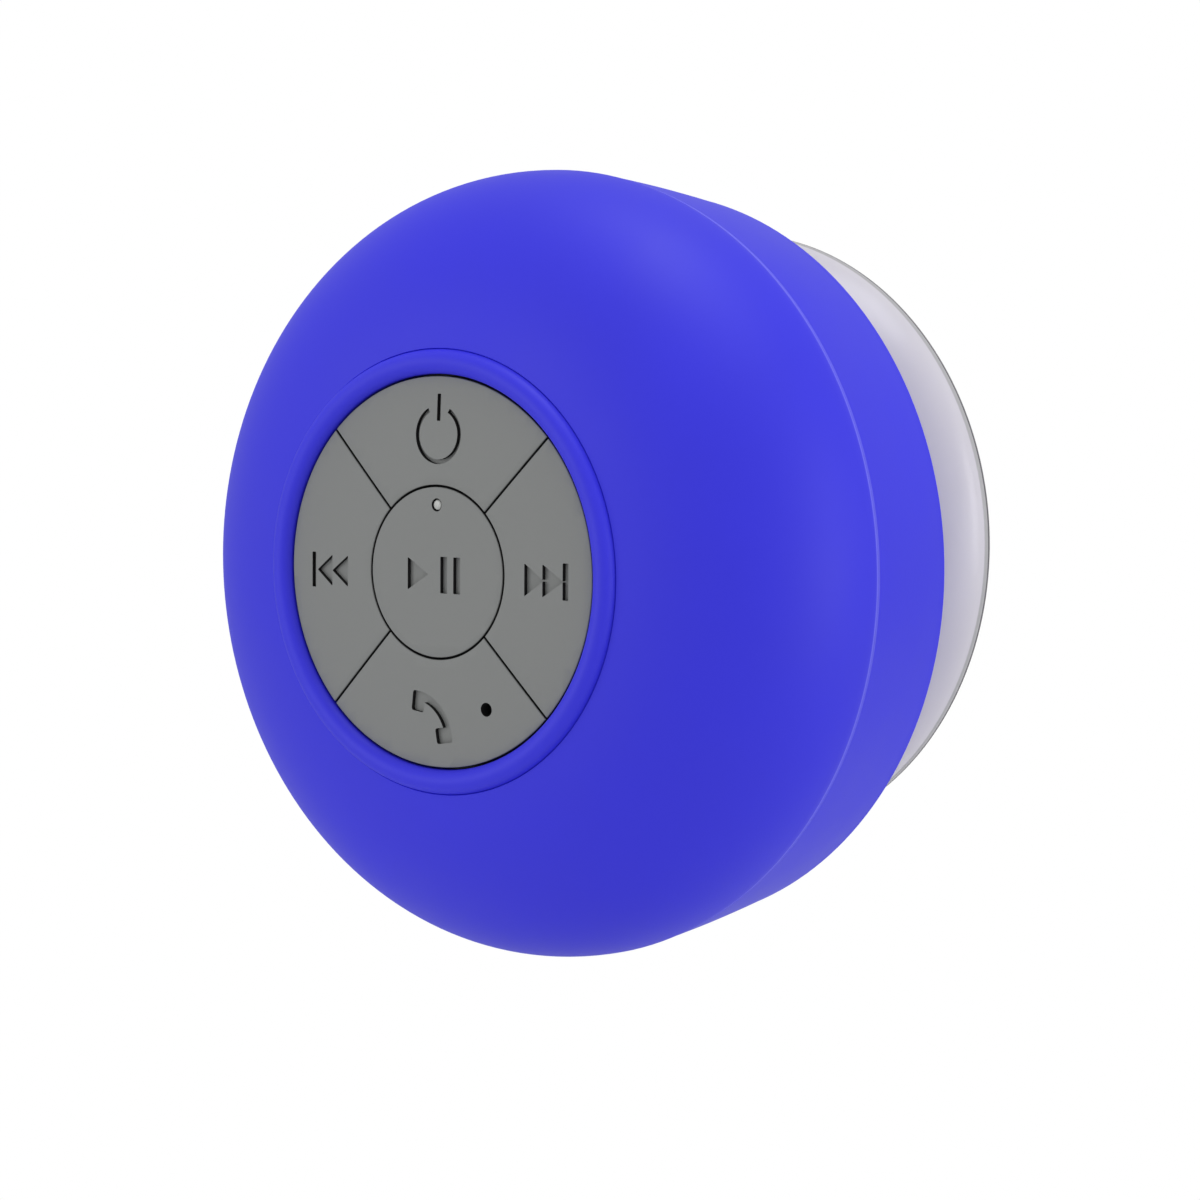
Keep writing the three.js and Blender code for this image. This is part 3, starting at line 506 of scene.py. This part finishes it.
def blue_plastic():
    """The band, with a painted highlight on the chamfer that faces the cover."""
    plastic = Surface("blue_plastic", (44, 41, 221), 0.5, 0.3, 0.012, 0.03, Specular_IOR_Level=0.42)
    return plastic.tinted(BLUE_SEAM_HIGHLIGHT, plastic.between(SEAM_Z - BAND_CHAMFER, SEAM_Z, 0.03))


def cup_rubber():
    """Soft and slightly see-through, with a darker lip that ends in a dark line."""
    depth = {"Subsurface_Weight": 0.35, "Subsurface_Scale": 0.004, "Subsurface_Radius": (1, 1, 1)}
    rubber = Surface("cup_rubber", (206, 203, 211), 0.32, 0.5, 0.01, 0.02, **depth)
    lip = rubber.beyond(CUP_OFF_AXIS, CUP_LIP_R - CUP_LIP_STEP, 0.06)
    rubber.tinted((168, 167, 170), lip)
    return rubber.tinted((72, 70, 78), rubber.worked("MULTIPLY", lip, rubber.between(-1, 0.4, 0.05)))


surfaces = {
    "blue_silicone": blue_silicone(),
    "blue_plastic": blue_plastic(),
    "grey_rubber": Surface("grey_rubber", (126, 128, 127), 0.6, 0.25, 0.01, 0.02),
    # Near-black painted shade for the keys' upright faces.
    "groove": Surface("groove", (6, 6, 7), 0.9),
    "cup_rubber": cup_rubber(),
    "dark_rubber": Surface("dark_rubber", (20, 20, 22), 0.75),
    "cloth": Surface("cloth", (24, 24, 26), 0.85, variation=0.08).woven(0.35),
    "inner_plastic": Surface("inner_plastic", (42, 44, 48), 0.55, 0.4, 0.03),
    "clear_plastic": Surface("clear_plastic", (176, 178, 175), 0.3, Coat_Weight=0.3),
    "steel": Surface("steel", (190, 192, 196), 0.32, 0.15, 0.006, 0.05, Metallic=1),
    "ferrite": Surface("ferrite", (38, 38, 40), 0.65, 0.2, 0.03),
    "paper": Surface("paper", (30, 30, 33), 0.9, 0.5, 0.05, 0.1),
    "copper": Surface("copper", (200, 120, 66), 0.35, 0.2, 0.03, 0.06, Metallic=1),
    "board": Surface("board", (20, 92, 52), 0.35, 0.8, 0.01, 0.1, Coat_Weight=0.4),
    "chip": Surface("chip", (22, 23, 24), 0.45, 0.1, 0.01),
    "foil": Surface("foil", (200, 202, 206), 0.3, 1.5, 0.05, 0.06, Metallic=1),
    "foam": Surface("foam", (48, 50, 54), 0.95, 0.35, 0.15, 0.15),
    "red_wire": Surface("red_wire", (178, 32, 28), 0.45),
    "black_wire": Surface("black_wire", (22, 22, 22), 0.45),
    "ivory": Surface("ivory", (226, 220, 202), 0.5),
}
looks = {name: surface.material for name, surface in surfaces.items()}


# ---- Casing ----

def front_cover():
    """The silicone dome, with a crease where the bead round the keys starts."""
    crease_z = dome_z(BEAD_OUTER_R)
    middle_r = (BEAD_OUTER_R + BEAD_INNER_R) / 2
    half = (BEAD_OUTER_R - BEAD_INNER_R) / 2
    rise = CREST_Z - BEAD_FOOT_Z
    bead = [(middle_r + half * a, BEAD_FOOT_Z + rise * b) for a, b in arc(0, 0, 1, 8, 172, 22)]
    edge_z = SEAM_Z + SEAM_GAP
    edge_r = BAND_FRONT_R + 0.02
    edge = filleted([(BODY_R - COVER_T, edge_z), (edge_r, edge_z, 0.12), (BODY_R, WIDEST_Z)])[:-1]
    outline = edge + dome_curve(0, dome_z(BEAD_OUTER_R + CREASE_WIDTH), 56)
    outline += [(BEAD_OUTER_R + CREASE_WIDTH * 0.4, crease_z - CREASE_DEPTH)]
    outline += bead + [(BEAD_INNER_R, BEAD_FOOT_Z - 0.3), (BEAD_INNER_R, COVER_UNDERSIDE_Z)]
    outline += reversed(dome_curve(COVER_T, COVER_UNDERSIDE_Z, 24))
    piece("silicone_cover", turned(outline), "speaker", "blue_silicone", ["front_cover"])


def across_band(x_from, x_to, z_from, z_to, rounding, inner_r, outer_r):
    """A prism that stands across the lowest point of the band, with a rounded outline seen from below."""
    outline = rectangle((x_from + x_to) / 2, (z_from + z_to) / 2, x_to - x_from, z_to - z_from, rounding)
    return stood_up(prism(outline, inner_r, outer_r))


def stood_up(bm):
    """Turns a prism so that its outline lies in x and z, and its depth runs down from the axis."""
    bmesh.ops.transform(bm, matrix=Matrix.Rotation(math.pi / 2, 4, "X"), verts=bm.verts)
    bmesh.ops.recalc_face_normals(bm, faces=bm.faces)
    return bm


def band_skin(outer_gap, thickness):
    """A layer of the band, from outer_gap below its outside, round the port."""
    back_z, front_z, steps = BAND_BACK_Z + 1.4, SEAM_Z - 1.4, 8
    heights = [back_z + (front_z - back_z) * i / steps for i in range(steps + 1)]
    outer = [(band_r(z) - outer_gap, z) for z in heights]
    inner = [(band_r(z) - outer_gap - thickness, z) for z in reversed(heights)]
    return turned(outer + inner)


def band_outside():
    """The band's outline from the foot of its front chamfer to its back edge."""
    top_z, bottom_z, steps = SEAM_Z - BAND_CHAMFER, BAND_BACK_Z + 0.1, 14
    heights = [top_z + (bottom_z - top_z) * i / steps for i in range(steps + 1)]
    return [(band_r(z), z) for z in heights]


def rear_housing():
    front = [(39.65, SEAM_Z), (BAND_FRONT_R - BAND_CHAMFER, SEAM_Z)]
    lip_z = BAND_BACK_Z - 0.4
    back = filleted([
        band_outside()[-1],
        (BAND_BACK_R - 0.02, lip_z, 0.35),
        (BAND_BACK_R - 1.4, lip_z, 0.3),
        (BAND_BACK_R - 1.7, BACK_WALL_Z, 0.3),
        (3.35, BACK_WALL_Z, 0.25),
        (3.35, 22, 0.2),
        (6.5, 22, 0.2),
        (6.5, INNER_WALL_Z),
        (18.3, INNER_WALL_Z),
        (18.3, 24, 0.2),
        (20.9, 24, 0.2),
        (20.9, INNER_WALL_Z),
        (38.2, INNER_WALL_Z),
        (39.65, 30),
    ])[1:]
    bm = turned(front + band_outside() + back)
    bm = combined(bm, merged(*[screw_boss(a) for a in SCREW_ANGLES]), "UNION")
    tools = [slot_tool(i) for i in range(SLOT_COUNT)] + [screw_tool(a) for a in SCREW_ANGLES]
    bm = combined(bm, merged(*tools), "DIFFERENCE")
    width, height = FLAP_SIZE
    x, z = width / 2 + PORT_GAP, height / 2 + PORT_GAP
    recess = across_band(-x, x + ANCHOR_W, PORT_Z - z, PORT_Z + z, 1, PORT_FLOOR_R, BODY_R + 3)
    recess = combined(recess, band_skin(-3, 3 + FLAP_T + 0.15), "INTERSECT")
    bm = combined(bm, recess, "DIFFERENCE")
    mouth = across_band(-5, 5, PORT_Z - 2.2, PORT_Z + 2.2, 1, 35, BODY_R + 1)
    bm = combined(bm, mouth, "DIFFERENCE")
    piece("band_housing", bm, "speaker", "blue_plastic", ["rear_housing"], 30)


def at_screw(bm, degrees):
    angle = math.radians(degrees)
    return moved(bm, SCREW_AT_R * math.cos(angle), SCREW_AT_R * math.sin(angle))


def screw_boss(degrees):
    return at_screw(turned([(0, 20), (3.4, 20), (3.4, 33.5), (0, 33.5)], 40), degrees)


def screw_tool(degrees):
    outline = [(0, 17), (3.1, 17), (3.1, 18.9), (2.75, 19.2), (2.75, 20.7), (1.5, 20.7), (1.5, 35), (0, 35)]
    return at_screw(turned(outline, 40), degrees)


def slot_tool(index):
    """A radial sound slot with a softened mouth."""
    layers = [(0.35, 17.6), (0.35, 18.95), (0.12, 19.05), (0, 19.3), (0, 22)]
    width, height = SLOT_SIZE
    shapes = [(rectangle(SLOT_AT_R, 0, width + 2 * grow, height + 2 * grow, 0.95), z) for grow, z in layers]
    bm = lofted(shapes)
    bmesh.ops.transform(bm, matrix=Matrix.Rotation(2 * math.pi * index / SLOT_COUNT, 4, "Z"), verts=bm.verts)
    return bm


def port_flap():
    """The lid with its plug, and the fixed strip that it hangs on."""
    half = FLAP_SIZE[0] / 2
    low, high = PORT_Z - FLAP_SIZE[1] / 2, PORT_Z + FLAP_SIZE[1] / 2
    outer_r = BODY_R + 3
    lid = across_band(-half, half, low, high, FLAP_ROUNDING, PORT_FLOOR_R, outer_r)
    lid = combined(lid, band_skin(0, FLAP_T), "INTERSECT")
    plug_x, plug_z = PLUG_SIZE[0] / 2, PLUG_SIZE[1] / 2
    plug = across_band(-plug_x, plug_x, PORT_Z - plug_z, PORT_Z + plug_z, PLUG_ROUNDING, *PLUG_R)
    lid = combined(lid, plug, "UNION")
    piece("flap_lid", rounded_edges(lid, 0.12), "flap", "blue_silicone", ["port_flap"])
    anchor = across_band(half + HINGE_SLIT, half + ANCHOR_W, low, high, FLAP_ROUNDING, PORT_FLOOR_R, outer_r)
    anchor = combined(anchor, band_skin(0, FLAP_T), "INTERSECT")
    piece("flap_root", rounded_edges(anchor, 0.12), "speaker", "blue_silicone", ["flap_anchor"])


def charging_socket():
    """A micro-USB shell with two slanted corners, and its tongue."""
    x, z = centre_of("usb_socket")[0], (front_of("usb_socket") + back_of("usb_socket")) / 2
    half_w = half_width_of("usb_socket")
    half_h = (front_of("usb_socket") - back_of("usb_socket")) / 2
    mouth_r = -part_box("usb_socket")[0].z / MM
    inner_r = -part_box("usb_socket")[1].z / MM

    def outline(inset):
        w, h = half_w - inset, half_h - inset
        low = [(x - w + 0.9, z - h), (x + w - 0.9, z - h), (x + w, z)]
        high = [(x + w, z + h), (x - w, z + h), (x - w, z)]
        return filleted([(a, b, 0.35) for a, b in low + high], 4)

    shell = stood_up(lofted([(outline(0), inner_r), (outline(0), mouth_r)]))
    mouth = [(outline(0.3), mouth_r - 0.3), (outline(0.1), mouth_r + 0.1)]
    hollow = stood_up(lofted([(outline(0.3), inner_r + 1.2), *mouth]))
    shell = combined(shell, hollow, "DIFFERENCE")
    tongue = across_band(x - 1.9, x + 1.9, z + 0.15, z + 0.75, 0.1, inner_r + 1, mouth_r - 0.6)
    piece("socket_shell", shell, "speaker", "steel", ["usb_socket"])
    piece("socket_tongue", rounded_edges(tongue, 0.06), "speaker", "chip")


def screws(kind, count, head_rounding):
    """Pan-head screws with a cross recess, each at its own CAD place."""
    for i in range(1, count + 1):
        node = f"{kind}_{i}"
        back, front = back_of(node), front_of(node)
        head_r = half_width_of(node)
        shank_r = head_r / 2
        neck_z = back + head_r * 0.5
        pitch = shank_r * 0.45
        outline = [(0, back), (head_r, back, head_rounding), (head_r, neck_z, 0.1), (shank_r, neck_z)]
        z = neck_z + pitch
        while z < front - 2 * pitch:
            outline += [(shank_r * 0.86, z), (shank_r, z + pitch / 2)]
            z += pitch
        outline += [(shank_r * 0.6, front - pitch / 2), (0, front)]
        bm = turned(filleted(outline, 4), 48)
        for width, height in ((head_r * 1.25, head_r * 0.26), (head_r * 0.26, head_r * 1.25)):
            deep = rectangle(0, 0, width * 0.6, height * 0.6)
            wide = rectangle(0, 0, width, height)
            bm = combined(bm, lofted([(wide, back - 0.1), (deep, back + head_r * 0.35)]), "DIFFERENCE")
        piece("fine_" + node, moved(bm, *centre_of(node)), "speaker", "steel", [node])


# ---- Keys ----

def stroke(points, width):
    """A closed outline round a line of points."""
    left, right = [], []
    for i, (x, y) in enumerate(points):
        ax, ay = points[max(i - 1, 0)]
        bx, by = points[min(i + 1, len(points) - 1)]
        length = math.hypot(bx - ax, by - ay)
        nx, ny = -(by - ay) / length * width / 2, (bx - ax) / length * width / 2
        left.append((x + nx, y + ny))
        right.append((x - nx, y - ny))
    return right + left[::-1]


def triangle(base_x, y, width, height):
    """A triangle that points right, or left when its width is negative."""
    corners = [(base_x, y - height / 2), (base_x + width, y), (base_x, y + height / 2)]
    return filleted([(a, b, 0.15) for a, b in (corners if width > 0 else corners[::-1])], 3)


def bar(left_x, y, width, height):
    return rectangle(left_x + width / 2, y, width, height, 0.12)


def power_symbol():
    centre_y, r, line_width, half_gap = 14.7, 2.9, 0.5, 28
    opened = arc(0, centre_y, r, 90 + half_gap, 450 - half_gap, 40)
    return [stroke(opened, line_width), bar(-line_width / 2, centre_y + r, line_width, r)]


def play_symbol():
    y, height, bar_width = -0.25, 3.5, 0.95
    return [triangle(-4, y, 2.9, height), bar(0.6, y, bar_width, 3.9), bar(2.4, y, bar_width, 3.9)]


def next_symbol():
    y, height, bar_width = -0.25, 3.5, 0.75
    return [triangle(12.05, y, 2.55, height), triangle(14.45, y, 2.75, height), bar(17.1, y, bar_width, 3.9)]


def previous_symbol():
    y, height, bar_width = -0.45, 3.4, 0.55
    return [triangle(-12.7, y, -2.3, height), triangle(-15, y, -2.2, height), bar(-18, y, bar_width, 3.8)]


def call_symbol():
    """A telephone handset: a curved handle with an earpiece at each end."""
    centre = Vector((-3.2, -18))
    handle_r, handle_width = 4.7, 1
    ear_r, ear_height, ear_width = 4.1, 1.1, 0.85
    low_angle, high_angle = 8, 82
    parts = [stroke(arc(*centre, handle_r, low_angle, high_angle, 16), handle_width)]
    for degrees in (low_angle, high_angle):
        angle = math.radians(degrees)
        out = Vector((math.cos(angle), math.sin(angle)))
        along = Vector((-math.sin(angle), math.cos(angle)))
        middle = centre + out * ear_r
        signs = ((-1, -1), (1, -1), (1, 1), (-1, 1))
        corners = [middle + out * ear_height * s + along * ear_width * t for s, t in signs]
        parts.append(filleted([(c.x, c.y, 0.3) for c in corners], 3))
    return parts


def quarter_outline(facing, inset):
    """A quarter of the key ring, with its sides parallel to the diagonals, moved in by inset."""
    outer_r, inner_r = KEYPAD_R - inset, PLAY_R + KEY_GAP + inset
    side = KEY_GAP / 2 + inset
    outer = 45 - math.degrees(math.asin(side / outer_r))
    inner = 45 - math.degrees(math.asin(side / inner_r))
    outside = arc(0, 0, outer_r, facing - outer, facing + outer, 64)
    return outside + arc(0, 0, inner_r, facing + inner, facing - inner, 40)


def round_outline(inset):
    return arc(0, 0, PLAY_R - inset, 0, 357.5, 143)


def crowned(bm):
    """The front faces follow the keypad's slight crown: a fine grid of cuts, then each point set back."""
    step = 1.3
    reach = int(KEYPAD_R / step) + 1
    for axis in ((1, 0, 0), (0, 1, 0)):
        for i in range(-reach, reach + 1):
            at = Vector(axis) * (i * step + 0.07)
            everything = bm.verts[:] + bm.edges[:] + bm.faces[:]
            bmesh.ops.bisect_plane(bm, geom=everything, plane_co=at, plane_no=axis)
    for vert in bm.verts:
        share = min(1, max(0, (vert.co.z - KEY_BACK_Z) / (KEY_T - SYMBOL_DEPTH)))
        vert.co.z -= KEYPAD_CROWN * share * (vert.co.xy.length / KEYPAD_R) ** 2
    return bm


def key(name, symbol, outline, holes=()):
    """A key with a softened front edge, its symbol sunk in its face, and the pin that presses its switch.

    Its upright faces, which the symbol's outline shows, are painted near-black as shade.
    """
    layers = [(0, KEY_T), (0, KEY_EDGE), (KEY_EDGE * 0.3, KEY_EDGE * 0.3), (KEY_EDGE, 0)]
    bm = lofted([(outline(inset), KEY_FACE_Z - depth) for inset, depth in layers])
    # Upright faces take the groove look: painted shade.
    for face in bm.faces:
        face.material_index = int(abs(face.normal.z) < 0.1)
    for shape in symbol:
        bm = combined(bm, prism(shape, KEY_FACE_Z - SYMBOL_DEPTH, KEY_FACE_Z + 1), "DIFFERENCE")
    for (x, y), r in holes:
        bm = combined(bm, prism(arc(x, y, r, 0, 350, 35), KEY_BACK_Z - 1, KEY_FACE_Z + 1), "DIFFERENCE")
    for face in bm.faces:
        if abs(face.normal.z) > 0.5:
            face.material_index = 0
    bm = crowned(bm)
    pin_front_z = KEY_BACK_Z + 0.3
    pin = turned([(0, KEY_PIN_Z), (1.5, KEY_PIN_Z), (1.5, pin_front_z), (0, pin_front_z)], 32)
    bm = merged(bm, moved(pin, *centre_of("plunger_" + name)))
    piece(name + "_button", bm, name + "_key", "grey_rubber", ["key_" + name], 30, "groove")


def keys():
    key("play", play_symbol(), round_outline, [(centre_of("indicator_lens"), 0.7)])
    key("power", power_symbol(), lambda inset: quarter_outline(90, inset))
    key("next", next_symbol(), lambda inset: quarter_outline(0, inset))
    key("previous", previous_symbol(), lambda inset: quarter_outline(180, inset))
    key("call", call_symbol(), lambda inset: quarter_outline(270, inset), [(centre_of("microphone"), 0.75)])


def indicator_lens():
    """The light guide: a wide foot on the LED, and a rod with a domed end in the centre key."""
    foot_z = back_of("indicator_lens")
    foot_top = foot_z + LENS_FOOT_T
    face_z = front_of("indicator_lens")
    foot = [(0, foot_z), (LENS_FOOT_R, foot_z, 0.15), (LENS_FOOT_R, foot_top, 0.15)]
    outline = foot + [(LENS_R, foot_top), (LENS_R, face_z - 0.05, 0.2), (0, face_z)]
    bm = moved(turned(filleted(outline), 40), *centre_of("indicator_lens"))
    piece("light_guide", bm, "speaker", "clear_plastic", ["indicator_lens"])


# ---- Suction cup ----

def suction_cup():
    """One soft moulding: a lip, a bowl, a neck that holds the stud, and the hollow that faces the wall.

    Its bowl is bent a little off the stud's axis.
    """
    rise = CUP_SHOULDER_Z - CUP_LIP_T
    bowl = quarter(CUP_HUB_R, CUP_LIP_T, CUP_LIP_R - CUP_LIP_STEP - CUP_HUB_R, rise, CUP_POWER, 40)
    hollow_r = CUP_LIP_R - CUP_RING_W
    inside = [(r, z) for r, z in quarter(0, 0, hollow_r, CUP_HOLLOW_Z, 2, 40)[::-1] if r > CUP_DISC_R]
    disc_z = inside[0][1] - CUP_DISC_T
    hollow = filleted([(0, disc_z), (CUP_DISC_R, disc_z, 0.15), inside[0]])[:-1] + inside
    lip_edge = [(CUP_LIP_R, 0, 0.2), (CUP_LIP_R, CUP_LIP_T - 0.25, 0.12), bowl[1]]
    lip = filleted([(hollow_r, 0), *lip_edge])[:-1]
    hub_edge = [(CUP_HUB_R, CUP_TOP_Z, 0.5), (CUP_BORE_R, CUP_TOP_Z, 0.3), (CUP_BORE_R, 11.3)]
    neck = filleted([(CUP_HUB_R, CUP_SHOULDER_Z), *hub_edge])
    pocket = [(7.15, 11.3), (7.15, 9.35), (0, 9.35)]
    outline = lip + bowl[1:] + neck[1:] + pocket + hollow[:-1]
    bm = turned(outline)
    for vert in bm.verts:
        vert.co.xy += CUP_OFF_AXIS * smooth_share(vert.co.xy.length, *CUP_BENT_R)
    piece("cup_bowl", bm, "wall_cup", "cup_rubber", ["suction_cup"])


# ---- What the CAD shapes already show well ----

def fine_turned(slots, bodies):
    """Turned CAD pieces again, with the same outline in many more steps and soft corners."""
    roundings = {
        "cup_stud": 0.25,
        "housing_seal": 0.3,
        "grille_cloth": 0.05,
        "driver_gasket": 0.2,
        "driver_basket": 0.6,
        "driver_surround": 2,
        "driver_cone": 0.3,
        "dust_cap": 2,
        "voice_coil": 0.1,
        "driver_spider": 2,
        "front_plate": 0.2,
        "driver_magnet": 0.3,
        "driver_yoke": 0.3,
    }
    for node, rounding in roundings.items():
        dish = SPIDER_DISH if node == "driver_spider" else 0
        corners = [
            (r, z + dish * (1 - smooth_share(r, *SPIDER_DISH_R)), rounding if r > NEAR else 0)
            for r, z in profile_of(node)
        ]
        slot = slots[node]
        made = piece("fine_" + node, turned(filleted(corners), 128), bodies[node], slot, [node])
        if node == "grille_cloth":
            made.data.materials[0] = looks["cloth"]


def frame_nodes(slots):
    """Every CAD node gets its look and softened edges, and the wires get a round section."""
    for node, made in frame["nodes"].items():
        made.data.materials.clear()
        made.data.materials.append(looks[slots[node]])
        for polygon in made.data.polygons:
            polygon.material_index = 0
        made.modifiers.new("joined_corners", "WELD").merge_threshold = NEAR
        if "lead" in node:
            made.modifiers.new("round_wire", "SUBSURF").render_levels = 2
            continue
        soft = made.modifiers.new("soft_edges", "BEVEL")
        soft.width = 0.08 * MM
        soft.segments = 2
        soft.limit_method = "ANGLE"
        soft.angle_limit = math.radians(40)
        soft.harden_normals = True


def passives():
    """Small resistors and capacitors on the circuit board, with bright ends."""
    z, at_r, length, width, height = front_of("circuit_board"), 20, 1.7, 0.8, 0.45
    parts = []
    for degrees in range(-60, 216, 12):
        ends = []
        for side in (-1, 1):
            end = prism(rectangle(side * length * 0.4, 0, length * 0.22, width), z, z + height)
            for face in end.faces:
                face.material_index = 1
            ends.append(end)
        part = merged(prism(rectangle(0, 0, length * 0.6, width * 0.94), z, z + height * 0.9), *ends)
        angle = math.radians(degrees)
        bmesh.ops.rotate(part, verts=part.verts, matrix=Matrix.Rotation(angle * 2, 3, "Z"))
        parts.append(moved(part, at_r * math.cos(angle), at_r * math.sin(angle)))
    piece("board_passives", merged(*parts), "speaker", "chip", groove="steel")


# ---- Floor, light and camera ----

def floor():
    """A pale floor that fades into the white surround, and can be looked through from below."""
    bm = bmesh.new()
    bmesh.ops.create_grid(bm, x_segments=8, y_segments=8, size=6)
    bmesh.ops.translate(bm, verts=bm.verts, vec=(0, 0, CAD_BOX[0].z - 0.08))
    data = bpy.data.meshes.new("floor")
    bm.to_mesh(data)
    bm.free()
    data.materials.append(floor_paint())
    made = bpy.data.objects.new("floor", data)
    bpy.context.scene.collection.objects.link(made)


def floor_paint():
    paint = Surface("floor_paint", (225, 225, 225), 0.9, variation=0)
    distance = paint.nodes.new("ShaderNodeVectorMath")
    distance.operation = "LENGTH"
    paint.link(paint.place, distance.inputs[0])
    glow = paint.add("Emission", Color=(1, 1, 1, 1), Strength=1)
    clear = paint.add("BsdfTransparent")
    side = paint.nodes.new("ShaderNodeNewGeometry")
    far = paint.add("MixShader")
    by_camera = paint.add("LightPath").outputs["Is Camera Ray"]
    glow_share = paint.ranged(distance.outputs["Value"], 0.05, 0.3)
    paint.link(paint.worked("MULTIPLY", glow_share, by_camera), far.inputs[0])
    paint.link(paint.shader.outputs[0], far.inputs[1])
    paint.link(glow.outputs[0], far.inputs[2])
    seen = paint.add("MixShader")
    paint.link(side.outputs["Backfacing"], seen.inputs[0])
    paint.link(far.outputs[0], seen.inputs[1])
    paint.link(clear.outputs[0], seen.inputs[2])
    paint.link(seen.outputs[0], paint.nodes["Material Output"].inputs["Surface"])
    return paint.material


def lamp(name, place, width, height, watts):
    """A soft lamp that points at the speaker."""
    light = bpy.data.lights.new(name, "AREA")
    light.shape = "ELLIPSE"
    light.size = width
    light.size_y = height
    light.energy = watts
    made = bpy.data.objects.new(name, light)
    made.location = place
    made.rotation_euler = (-Vector(place)).to_track_quat("-Z", "Y").to_euler()
    bpy.context.scene.collection.objects.link(made)


def surround():
    """A white studio: what the camera sees is pure white, and what lights the speaker is softer."""
    world = bpy.data.worlds.new("studio")
    world.use_nodes = True
    nodes, links = world.node_tree.nodes, world.node_tree.links
    seen = nodes.new("ShaderNodeBackground")
    seen.inputs["Strength"].default_value = 1
    nodes["Background"].inputs["Color"].default_value = (1, 1, 1, 1)
    nodes["Background"].inputs["Strength"].default_value = SURROUND_LIGHT
    seen.inputs["Color"].default_value = (1, 1, 1, 1)
    chosen = nodes.new("ShaderNodeMixShader")
    links.new(nodes.new("ShaderNodeLightPath").outputs["Is Camera Ray"], chosen.inputs[0])
    links.new(nodes["Background"].outputs[0], chosen.inputs[1])
    links.new(seen.outputs[0], chosen.inputs[2])
    links.new(chosen.outputs[0], nodes["World Output"].inputs["Surface"])
    bpy.context.scene.world = world


def lights():
    lamp("top_light", (0.1, 0, 0.75), 0.5, 0.5, 2)
    lamp("side_light", (0.8, 0.22, 0.1), 0.15, 0.6, 1.4)
    lamp("low_light", (0.6, 0, -0.1), 0.4, 0.4, 0.55)
    lamp("front_light", (-0.5, -0.8, 0.1), 0.6, 0.6, 2)
    bpy.context.scene.view_settings.view_transform = "Standard"


def camera():
    """A long lens with a shifted image, at the viewing angle of the reference picture."""
    azimuth, elevation, roll = math.radians(39.24), math.radians(3.62), math.radians(0.3)
    distance = 0.6
    data = bpy.data.cameras.new("camera")
    data.sensor_width = 36
    data.lens = 164.5
    data.shift_x = 0.0367
    data.shift_y = -0.0302
    data.clip_start = 0.01
    target = Vector((0, WALL_Y - WIDEST_Z * MM, 0))
    across = math.cos(elevation)
    back = Vector((math.sin(azimuth) * across, -math.cos(azimuth) * across, math.sin(elevation)))
    made = bpy.data.objects.new("camera", data)
    made.rotation_mode = "QUATERNION"
    made.location = target + back * distance
    turn = (-back).to_track_quat("-Z", "Y")
    made.rotation_quaternion = turn @ Matrix.Rotation(roll, 4, "Z").to_quaternion()
    bpy.context.scene.collection.objects.link(made)
    bpy.context.scene.camera = made


slot_of = {entry["node"]: entry["material_slot"] for entry in frame["record"]["subparts"]}
bodies = frame["record"]["behaviour"]["bodies"]
body_of = {node: body for body, nodes in bodies.items() for node in nodes}
frame_nodes(slot_of)
fine_turned(slot_of, body_of)
front_cover()
rear_housing()
port_flap()
charging_socket()
screws("housing_screw", 4, 0.35)
screws("board_screw", 3, 0.3)
keys()
indicator_lens()
suction_cup()
passives()
floor()
surround()
lights()
camera()
